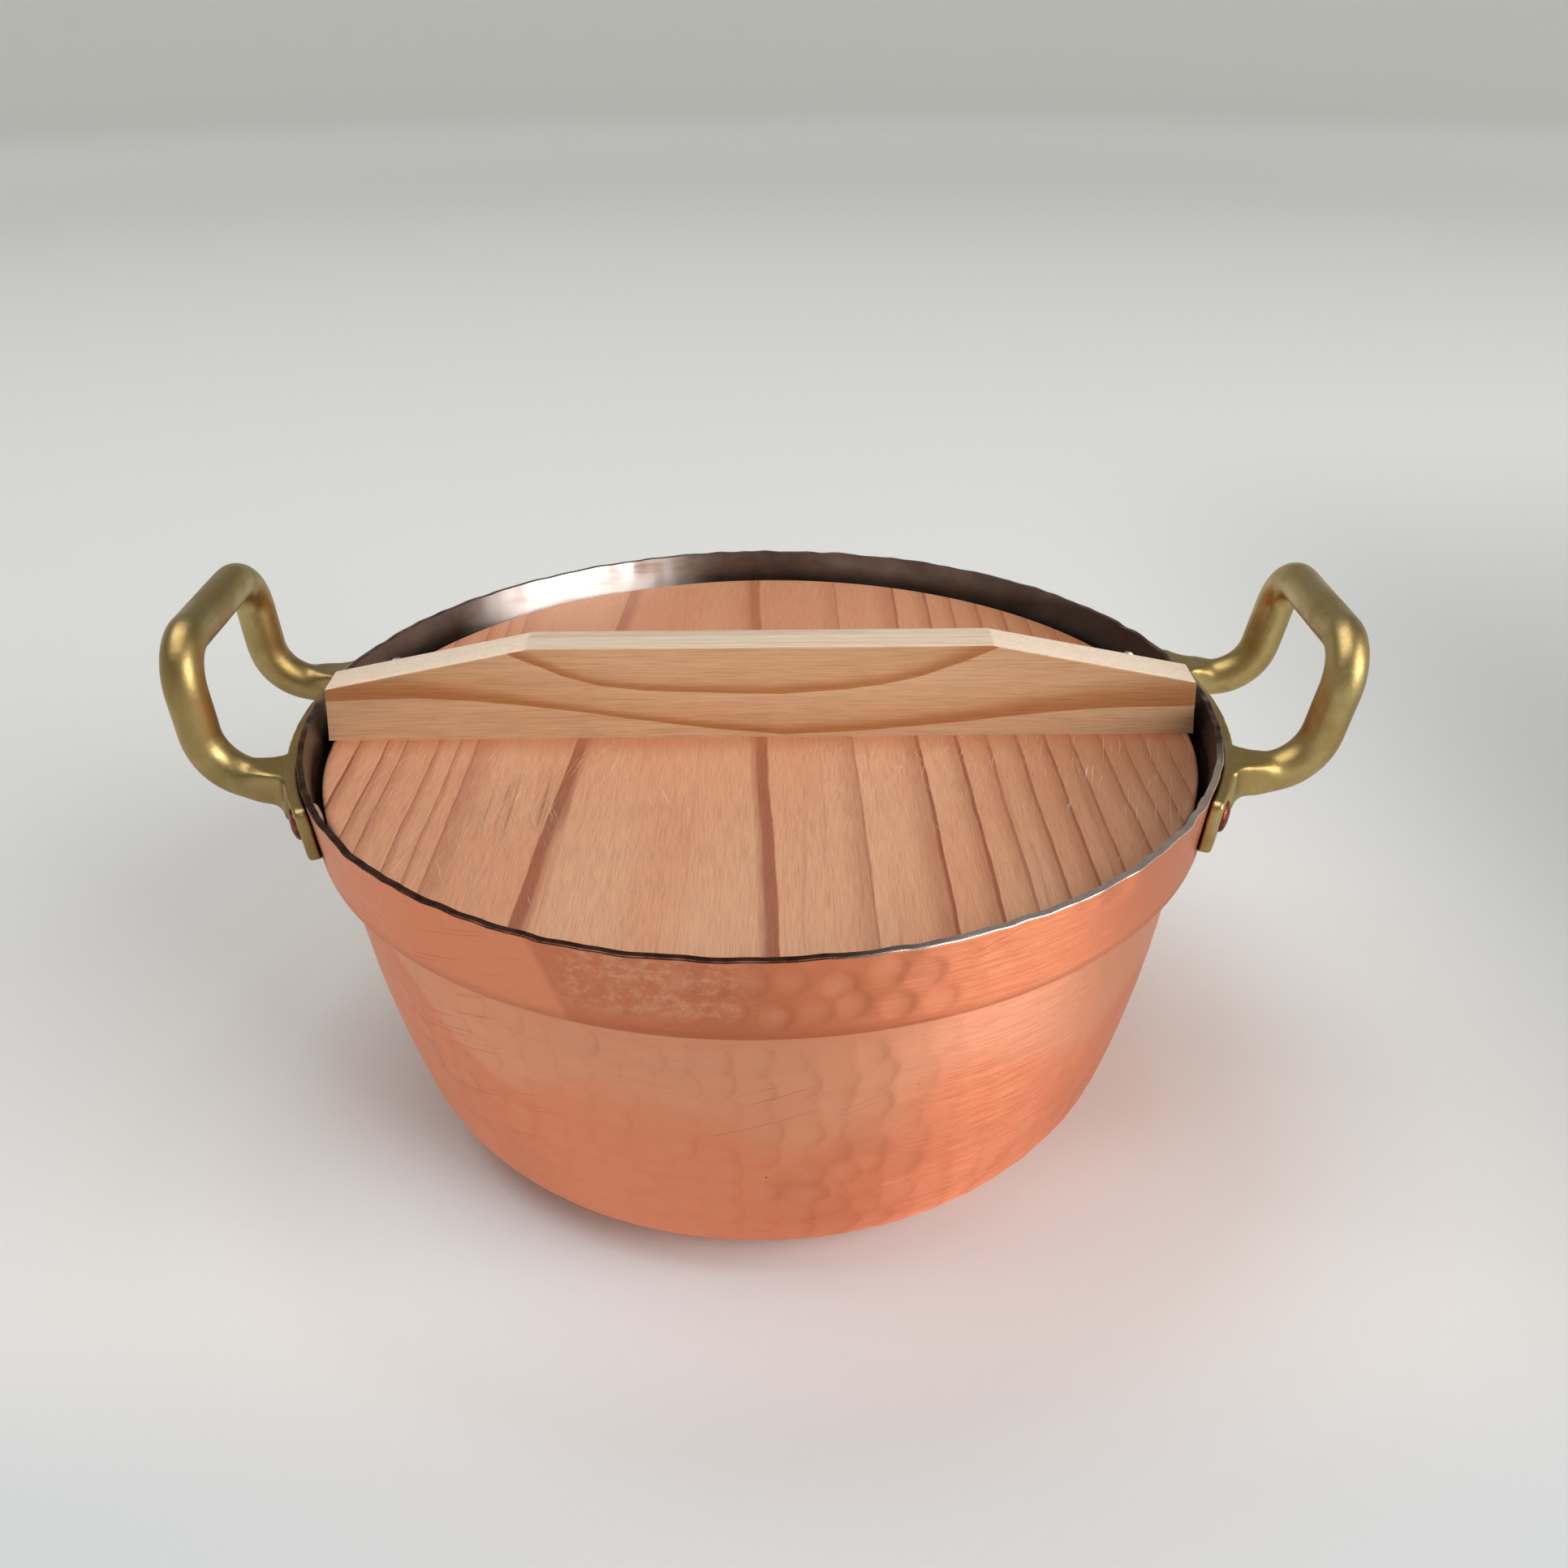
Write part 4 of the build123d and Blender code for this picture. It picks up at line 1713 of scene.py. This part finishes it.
@dataclass(frozen=True)
class Handle:
    """A cast brass handle: a curved plate, two square roots and a round loop.

    Sizes are in millimetres.
    """

    pot: Pot
    side: Side
    tilt: float
    plate_length: float = 94.0
    plate_height: float = 12.4
    plate_thickness: float = 2.8
    plate_drop: float = 1.8
    plate_corner: float = 2.0
    plate_edge: float = 0.6
    rod: float = 8.8
    root_width: float = 9.0
    root_height: float = 7.2
    root_drop: float = 0.3
    root_spacing: float = 52.0
    root_flare: float = 4.0
    root_depth: float = 3.0
    root_bite: float = 0.5
    loop_width: float = 47.4
    leg_reach: float = 15.8
    leg_bend: float = 11.7
    loop_rise: float = 28.0
    loop_lean: float = 5.2
    loop_corner: float = 9.4
    around: int = 56
    step: float = 1.0
    square: float = 16.0
    casting: float = 0.05
    grain_size: float = 0.42
    smoothing: int = 6
    root_rings: int = 9

    @property
    def top_z(self) -> float:
        """Height of the plate's top."""
        return self.pot.height - self.plate_drop

    @property
    def rod_z(self) -> float:
        """Height of the legs' middle."""
        return self.top_z - self.root_drop - self.root_height / 2

    @property
    def face_radius(self) -> float:
        """Radius of the plate's outer face at the height of the legs."""
        return self.pot.band_radius(self.rod_z) + self.plate_thickness

    def plate(self) -> bmesh.types.BMesh:
        """Builds the plate flat, rounds it, and bends it to the band."""
        mesh = bmesh.new()
        bmesh.ops.create_cube(mesh, size=1.0)
        bmesh.ops.scale(
            mesh, vec=(self.plate_length, self.plate_thickness, self.plate_height), verts=mesh.verts
        )
        corners = [
            edge
            for edge in mesh.edges
            if abs((edge.verts[0].co - edge.verts[1].co).normalized().y) > 0.9
        ]
        eased(mesh, corners, self.plate_corner, segments=8)
        outer = [
            edge
            for edge in mesh.edges
            if all(vert.co.y > 0.49 * self.plate_thickness for vert in edge.verts)
        ]
        eased(mesh, outer, self.plate_edge, segments=4)
        cuts = floor(self.plate_length / 2.0)
        for count in range(1, cuts):
            place = self.plate_length * (count / cuts - 0.5)
            bmesh.ops.bisect_plane(
                mesh,
                geom=[*mesh.verts, *mesh.edges, *mesh.faces],
                plane_co=(place, 0, 0),
                plane_no=(1, 0, 0),
            )
        middle_z = self.top_z - self.plate_height / 2
        for vert in mesh.verts:
            along, out, up = vert.co
            z = middle_z + up
            radius = self.pot.band_radius(z) + self.plate_thickness / 2 + out - 0.02
            angle = along / self.pot.rim_radius
            vert.co = (cos(angle) * radius, sin(angle) * radius, z)
        return mesh

    def section(self, angle: float, share: float) -> Point2:
        """Gives a point of the section, which turns from nearly square to round.

        Args:
            angle: Direction from the section's middle.
            share: 0 at the root and 1 where it is round.

        Returns:
            How far the point lies to the side and up.
        """
        half_width = self.root_width / 2 + (self.rod - self.root_width) / 2 * share
        half_height = self.root_height / 2 + (self.rod - self.root_height) / 2 * share
        power = 2 + (self.square - 2) * (1 - share) ** 3
        wide = abs(cos(angle)) / half_width
        tall = abs(sin(angle)) / half_height
        far = (wide**power + tall**power) ** (-1 / power)
        return cos(angle) * far, sin(angle) * far

    def loop(self) -> bmesh.types.BMesh:
        """Sweeps the section from one root through the loop to the other root."""
        half_root = self.root_spacing / 2
        start_x = sqrt(self.pot.band_radius(self.rod_z) ** 2 - half_root**2) - self.root_depth
        bend_x = self.pot.rim_radius + self.leg_reach
        half_loop = self.loop_width / 2
        corners = (
            Vector((start_x, -half_root, self.rod_z)),
            Vector((bend_x, -half_loop, self.rod_z)),
            Vector((bend_x + self.loop_lean, -half_loop, self.rod_z + self.loop_rise)),
            Vector((bend_x + self.loop_lean, half_loop, self.rod_z + self.loop_rise)),
            Vector((bend_x, half_loop, self.rod_z)),
            Vector((start_x, half_root, self.rod_z)),
        )
        radii = (self.leg_bend, self.loop_corner, self.loop_corner, self.leg_bend)
        stations = Rounding(corners, radii, self.step).stations()
        stations = self.close_up(stations)
        runs = [0.0]
        for (before, _), (after, _) in zip(stations, stations[1:]):
            runs.append(runs[-1] + (after - before).length)
        mesh = bmesh.new()
        bmesh.ops.create_circle(mesh, segments=self.around, radius=1.0, cap_ends=False)
        ring = list(mesh.verts)
        edges = list(mesh.edges)
        first_ring = list(ring)
        up = Vector((0, 0, 1))
        last_way = stations[0][1]
        for number, ((place, way), run) in enumerate(zip(stations, runs)):
            up = last_way.rotation_difference(way) @ up
            up = (up - way * up.dot(way)).normalized()
            last_way = way
            across = up.cross(way).normalized()
            if number:
                grown = bmesh.ops.extrude_edge_only(mesh, edges=edges)["geom"]
                new = verts_in(grown)
                ring = self.in_order(ring, new)
                fresh = set(ring)
                edges = [
                    item
                    for item in grown
                    if isinstance(item, bmesh.types.BMEdge)
                    and item.verts[0] in fresh
                    and item.verts[1] in fresh
                ]
            far = min(run, runs[-1] - run)
            self.shape_ring(ring, place, across, up, far)
        bmesh.ops.contextual_create(mesh, geom=first_ring)
        bmesh.ops.contextual_create(mesh, geom=ring)
        return mesh

    def close_up(self, stations: list[tuple[Vector, Vector]]) -> list[tuple[Vector, Vector]]:
        """Adds places near both roots, where the flare needs more rings."""
        dense: list[tuple[Vector, Vector]] = []
        last = len(stations) - 1 - self.root_rings
        for number, ((place, way), (after, _)) in enumerate(zip(stations, stations[1:])):
            dense.append((place, way))
            if number < self.root_rings or number >= last:
                for share in (1 / 3, 2 / 3):
                    dense.append((place.lerp(after, share), way))
        dense.append(stations[-1])
        return dense

    def in_order(
        self, ring: Sequence[bmesh.types.BMVert], new: Sequence[bmesh.types.BMVert]
    ) -> list[bmesh.types.BMVert]:
        """Puts the points of an extruded ring in the order of the ring that they came from."""
        fresh = set(new)
        ordered = []
        for vert in ring:
            for edge in vert.link_edges:
                other = edge.other_vert(vert)
                if other in fresh:
                    ordered.append(other)
                    break
        return ordered

    def shape_ring(
        self,
        ring: Sequence[bmesh.types.BMVert],
        place: Vector,
        across: Vector,
        up: Vector,
        far: float,
    ) -> None:
        """Puts one ring of the sweep in place.

        Args:
            ring: Its points, in order.
            place: Middle of the ring.
            across: Its sideways direction.
            up: Its upward direction.
            far: Distance from the nearer end of the sweep.
        """
        share = ease((far - 6.0) / 13.0)
        for number, vert in enumerate(ring):
            side, height = self.section(2 * pi * number / len(ring), share)
            point = place + across * side + up * height
            gap = hypot(point.x, point.y) - self.face_radius
            if gap < self.root_flare and far < self.leg_reach:
                short = clamp(self.root_flare - gap, 0.0, 0.94 * self.root_flare)
                flare = self.root_flare - sqrt(self.root_flare**2 - short**2)
                near = self.root_flare / self.root_width
                side += flare * clamp(side / self.root_width * 2, -1, 1)
                height += self.root_drop * clamp(height, 0, 1) * clamp(short * near, 0, 1)
                height += 0.7 * flare * clamp(height / self.root_height * 2, -1, 0)
            point = place + across * side + up * height
            inmost = self.pot.band_radius(point.z) + self.root_bite
            if hypot(point.x, point.y) < inmost:
                point.x = sqrt(inmost**2 - point.y**2)
            vert.co = point

    def build(self, brass: bpy.types.Material) -> None:
        """Builds the handle on its side of the pot.

        Args:
            brass: Its material.
        """
        loop = self.loop()
        pivot = Vector((self.face_radius, 0, self.rod_z))
        lean = Matrix.Rotation(radians(-self.tilt), 3, "Y")
        bmesh.ops.rotate(loop, cent=pivot, matrix=lean, verts=loop.verts)
        mesh = cast([loop, self.plate()], self.grain_size, self.smoothing)
        for vert in mesh.verts:
            vert.co += noise.noise_vector(vert.co * 0.16) * self.casting
        if self.side is Side.LEFT:
            bmesh.ops.scale(mesh, vec=(-1, 1, 1), verts=mesh.verts)
        bmesh.ops.scale(mesh, vec=(MM, MM, MM), verts=mesh.verts)
        word = self.side.name.lower()
        settle(mesh, f"brass_handle_{word}", Body.POT, "brass", [brass], [f"handle_{word}"], 40)


@dataclass(frozen=True)
class Rivet:
    """A copper rivet through the plate, the band and the tin, in millimetres."""

    pot: Pot
    handle: Handle
    end: End
    offset: float = 39.5
    shank: float = 4.0
    head: float = 7.0
    head_rise: float = 1.2
    inner_head: float = 6.4
    inner_rise: float = 1.2
    bedding: float = 0.3
    around: int = 40
    dents: float = 0.11
    dome_steps: int = 10

    def outline(self) -> list[Point2]:
        """Gives the half outline, as radius and height out of the band, from top to bottom."""
        outer = self.handle.plate_thickness
        inner = -self.pot.copper - self.pot.tin
        points = self.dome(self.head / 2, outer - self.bedding, outer + self.head_rise)
        points.append((self.shank / 2, outer - self.bedding))
        points.append((self.shank / 2, inner + self.bedding))
        low = self.dome(self.inner_head / 2, inner + self.bedding, inner - self.inner_rise)
        points += list(reversed(low))
        return points

    def dome(self, radius: float, seat: float, top: float) -> list[Point2]:
        """Gives a dome's outline from its top to its rim, with a soft rolled edge."""
        points = []
        for count in range(self.dome_steps + 1):
            angle = pi / 2 * count / self.dome_steps
            points.append((radius * sin(angle) ** 0.85, seat + (top - seat) * cos(angle) ** 0.8))
        points[0] = (0.0, top)
        points[-1] = (radius, seat)
        return points

    def build(self, copper: bpy.types.Material, tin: bpy.types.Material) -> None:
        """Builds the rivet.

        Args:
            copper: Material of its outer head.
            tin: Material of its inner head, which was tinned with the pot.
        """
        mesh = bmesh.new()
        verts = [mesh.verts.new((radius, 0, height)) for radius, height in self.outline()]
        spun(mesh, verts, self.around)
        bmesh.ops.remove_doubles(mesh, verts=mesh.verts, dist=1e-4)
        shift = Vector((self.handle.side.value * 3.1, self.end.value * 5.7, 0))
        for vert in mesh.verts:
            if abs(vert.co.z) > self.shank / 2 - 0.4:
                vert.co += noise.noise_vector(vert.co * 0.55 + shift) * self.dents
        for face in mesh.faces:
            face.material_index = 1 if face.calc_center_median().z < 0 else 0
        mesh.transform(self.placement())
        name = f"rivet_{self.handle.side.name.lower()}_{self.end.name.lower()}"
        settle(mesh, f"copper_{name}", Body.POT, "copper", [copper, tin], [name], 50)

    def placement(self) -> Matrix:
        """Gives the place and direction of the rivet on the band, in metres."""
        turn = self.offset / self.pot.rim_radius * self.end.value
        angle = turn if self.handle.side is Side.RIGHT else pi - turn
        z = self.handle.top_z - self.handle.plate_height / 2
        flat_out = Vector((cos(angle), sin(angle), 0))
        out = flat_out * cos(self.pot.slope) - Vector((0, 0, sin(self.pot.slope)))
        along = Vector((-sin(angle), cos(angle), 0))
        up = out.cross(along)
        origin = flat_out * self.pot.band_radius(z) + Vector((0, 0, z))
        turned = Matrix((along, up, out)).transposed().to_4x4()
        return Matrix.Scale(MM, 4) @ Matrix.Translation(origin) @ turned


@dataclass(frozen=True)
class Lid:
    """The round board and the bar that is let into it, in millimetres."""

    radius: float
    bottom_z: float
    top_z: float
    bar_top_z: float
    bar_half_length: float
    bar_thickness: float = 10.2
    bar_set_back: float = 1.9
    bar_end_height: float = 12.7
    bar_flat_length: float = 102.4
    bar_end_lean: float = 3.0
    bar_edge: float = 0.5
    top_edge: float = 1.0
    foot_edge: float = 0.9
    tenon_neck: float = 7.0
    tenon_depth: float = 4.0
    tenon_slope: float = 14.0
    tenon_clearance: float = 0.1
    neck_rise: float = 1.0
    around: int = 288

    def dovetail(self, clearance: float) -> list[Point2]:
        """Gives the dovetail's section, as Y and height, with a straight neck above the board."""
        neck = self.tenon_neck / 2 + clearance
        depth = self.tenon_depth + clearance
        foot = neck + depth * tan(radians(self.tenon_slope))
        middle = self.bar_set_back
        low = self.top_z - depth
        high = self.top_z + self.neck_rise
        return [
            (middle - neck, high),
            (middle - neck, self.top_z),
            (middle - foot, low),
            (middle + foot, low),
            (middle + neck, self.top_z),
            (middle + neck, high),
        ]

    def prism(self, section: Sequence[Point2], half_length: float) -> bmesh.types.BMesh:
        """Extrudes a section along X, to both sides of the middle."""
        mesh = bmesh.new()
        verts = [mesh.verts.new((-half_length, y, z)) for y, z in section]
        face = mesh.faces.new(verts)
        grown = bmesh.ops.extrude_face_region(mesh, geom=[face])["geom"]
        new = verts_in(grown)
        bmesh.ops.translate(mesh, vec=(2 * half_length, 0, 0), verts=new)
        return mesh

    def board(self) -> bmesh.types.BMesh:
        """Builds the board with its rounded edges and its groove."""
        mesh = bmesh.new()
        bmesh.ops.create_circle(
            mesh, cap_ends=True, segments=self.around, radius=self.radius,
            matrix=Matrix.Translation((0, 0, self.bottom_z)),
        )
        grown = bmesh.ops.extrude_face_region(mesh, geom=list(mesh.faces))["geom"]
        new = verts_in(grown)
        bmesh.ops.translate(mesh, vec=(0, 0, self.top_z - self.bottom_z), verts=new)
        for level, size in ((self.top_z, self.top_edge), (self.bottom_z, self.foot_edge)):
            edges = [
                edge
                for edge in mesh.edges
                if all(abs(vert.co.z - level) < 1e-4 for vert in edge.verts)
            ]
            eased(mesh, edges, size, segments=5)
        groove = self.prism(self.dovetail(self.tenon_clearance), self.radius + 2)
        return combined(mesh, groove, "DIFFERENCE")

    def bar(self) -> bmesh.types.BMesh:
        """Builds the bar with its tenon, cuts its slopes and ends, and eases its edges."""
        middle = self.bar_set_back
        half = self.bar_thickness / 2
        section = [
            (middle - half, self.bar_top_z),
            (middle - half, self.top_z),
            (middle + half, self.top_z),
            (middle + half, self.bar_top_z),
        ]
        mesh = self.prism(section, self.bar_half_length)
        lean = radians(self.bar_end_lean)
        end_top_z = self.top_z + self.bar_end_height
        end_top_x = self.bar_half_length - self.bar_end_height * tan(lean)
        fall = self.bar_top_z - end_top_z
        run = end_top_x - self.bar_flat_length / 2
        for sign in (-1, 1):
            end = (sign * self.bar_half_length, 0, self.top_z)
            self.slice(mesh, end, (sign * cos(lean), 0, sin(lean)))
            self.slice(mesh, (sign * end_top_x, 0, end_top_z), (sign * fall, 0, run))
        ridges = [edge for edge in mesh.edges if self.is_ridge(edge)]
        eased(mesh, ridges, self.bar_edge, segments=4)
        tenon_half_length = sqrt(self.radius**2 - (middle + half) ** 2)
        return combined(mesh, self.prism(self.dovetail(0.0), tenon_half_length), "UNION")

    def slice(self, mesh: bmesh.types.BMesh, place: Sequence[float], out: Sequence[float]) -> None:
        """Cuts off what lies outside a plane and closes the cut.

        Args:
            mesh: The bar.
            place: A point on the plane.
            out: The plane's outward direction.
        """
        cut = bmesh.ops.bisect_plane(
            mesh,
            geom=[*mesh.verts, *mesh.edges, *mesh.faces],
            plane_co=place,
            plane_no=out,
            clear_outer=True,
        )
        rim = [item for item in cut["geom_cut"] if isinstance(item, bmesh.types.BMEdge)]
        bmesh.ops.edgeloop_fill(mesh, edges=rim)

    def is_ridge(self, edge: bmesh.types.BMEdge) -> bool:
        """Tells whether an edge of the bar is one that is eased: outer, and above the board."""
        if len(edge.link_faces) != 2 or edge.calc_face_angle() < radians(25):
            return False
        middle = (edge.verts[0].co + edge.verts[1].co) / 2
        return middle.z > self.top_z + 0.5

    def build(self, board: bpy.types.Material, bar: bpy.types.Material) -> None:
        """Builds both pieces of the lid.

        Args:
            board: Material of the board.
            bar: Material of the bar.
        """
        for mesh, name, slot, material, node in (
            (self.board(), "wood_board", "lid_wood", board, "lid_board"),
            (self.bar(), "wood_bar", "bar_wood", bar, "lid_bar"),
        ):
            bmesh.ops.scale(mesh, vec=(MM, MM, MM), verts=mesh.verts)
            settle(mesh, name, Body.LID, slot, [material], [node], 30)


@dataclass(frozen=True)
class Studio:
    """The paper sweep, the lamps, the world and the camera, in metres."""

    floor_radius: float = 2.9
    floor_rise: float = 1.6
    floor_around: int = 128
    floor_steps: int = 16
    paper: PaperFloor = PaperFloor()
    key_place: Colour = (2.15, -1.35, 1.25)
    key_size: float = 2.0
    key_power: float = 62.0
    fill_place: Colour = (-0.6, 0.1, 2.5)
    fill_size: float = 2.2
    fill_power: float = 38.0
    world_colour: Colour = srgb(232, 233, 232)
    world_strength: float = 0.26
    frame_px: int = 1932
    focal_px: float = 1860.0
    sensor_mm: float = 36.0
    pitch: float = 28.40
    roll: float = -0.49
    distance: float = 0.3519
    target: Colour = (0.0051, 0.0, 0.0742)

    def floor(self) -> None:
        """Lays the round paper floor, which curves up at its edge."""
        mesh = bmesh.new()
        line = [mesh.verts.new((0, 0, 0)), mesh.verts.new((self.floor_radius, 0, 0))]
        for count in range(1, self.floor_steps + 1):
            angle = pi / 2 * count / self.floor_steps
            reach = self.floor_radius + self.floor_rise * sin(angle)
            line.append(mesh.verts.new((reach, 0, self.floor_rise * (1 - cos(angle)))))
        spun(mesh, line, self.floor_around)
        bmesh.ops.remove_doubles(mesh, verts=mesh.verts, dist=1e-6)
        for face in mesh.faces:
            face.smooth = True
        data = bpy.data.meshes.new("floor")
        mesh.to_mesh(data)
        mesh.free()
        data.materials.append(self.paper.material())
        floor_ = linked("floor", data)

    def lamp(self, name: str, place: Colour, size: float, power: float) -> None:
        """Hangs a square soft lamp that faces the pot.

        Args:
            name: Name of the lamp.
            place: Where it hangs.
            size: Length of its sides.
            power: Its power in watts.
        """
        data = bpy.data.lights.new(name, "AREA")
        data.shape = "SQUARE"
        data.size = size
        data.energy = power
        holder = linked(name, data)
        holder.location = place
        way = Vector(self.target) - Vector(place)
        holder.rotation_euler = way.to_track_quat("-Z", "Y").to_euler()

    def world(self) -> None:
        """Gives the room its even pale light."""
        world = bpy.data.worlds.new("room")
        bpy.context.scene.world = world
        world.use_nodes = True
        shade = world.node_tree.nodes["Background"]
        shade.inputs["Color"].default_value = (*self.world_colour, 1.0)
        shade.inputs["Strength"].default_value = self.world_strength

    def camera(self) -> None:
        """Sets the camera at the photograph's viewing angle."""
        data = bpy.data.cameras.new("camera")
        data.sensor_width = self.sensor_mm
        data.lens = self.sensor_mm * self.focal_px / self.frame_px
        data.clip_start = 0.01
        data.clip_end = 50.0
        holder = linked("camera", data)
        pitch = radians(self.pitch)
        roll = radians(self.roll)
        ahead = Vector((0, cos(pitch), -sin(pitch)))
        right = Vector((1, 0, 0))
        up = right.cross(ahead)
        rolled_right = right * cos(roll) + up * sin(roll)
        rolled_up = up * cos(roll) - right * sin(roll)
        turned = Matrix((rolled_right, rolled_up, -ahead)).transposed().to_4x4()
        place = Vector(self.target) - ahead * self.distance
        holder.matrix_world = Matrix.Translation(place) @ turned
        bpy.context.scene.camera = holder

    def build(self) -> None:
        """Sets the whole studio up."""
        self.floor()
        self.lamp("key", self.key_place, self.key_size, self.key_power)
        self.lamp("fill", self.fill_place, self.fill_size, self.fill_power)
        self.world()
        self.camera()
        bpy.context.scene.view_settings.view_transform = "Standard"


def main() -> None:
    """Builds the whole scene round the frame and notes its size."""
    logging.basicConfig(level=logging.INFO, format="%(name)s: %(message)s")
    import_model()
    _, body_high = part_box("pot_body")
    board_low, board_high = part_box("lid_board")
    _, bar_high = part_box("lid_bar")
    pot = Pot(rim_radius=101.5, height=body_high[2] / MM)
    copper = BrushedCopper().material()
    tin = WipedTin().material()
    # The rivets' inner heads get a brighter copy of the tin, a painted highlight, and no painted
    # shade.
    bright = srgb(240, 238, 234)
    rivet_tin_highlight = WipedTin(
        name="rivet_tin_highlight", bright=bright, dull=bright, painted_gap_shade=bright, roughness=0.3, stretch=0.0
    )
    rivet_tin_highlight = rivet_tin_highlight.material()
    brass = CastBrass().material(pot)
    rivet_copper = RivetCopper().material()
    PotWalls(pot, Hammering(pot)).build(copper, RimEdge().material(), tin)
    for side, tilt in ((Side.LEFT, 5.0), (Side.RIGHT, -1.5)):
        handle = Handle(pot, side, tilt)
        handle.build(brass)
        for end in End:
            Rivet(pot, handle, end).build(rivet_copper, rivet_tin_highlight)
    lid = Lid(
        radius=board_high[0] / MM,
        bottom_z=board_low[2] / MM,
        top_z=board_high[2] / MM,
        bar_top_z=bar_high[2] / MM,
        bar_half_length=bar_high[0] / MM,
    )
    lid.build(BoardWood().material(board_high[2]), BarWood().material(board_high[2]))
    Studio().build()


if __name__ == "__main__":
    main()
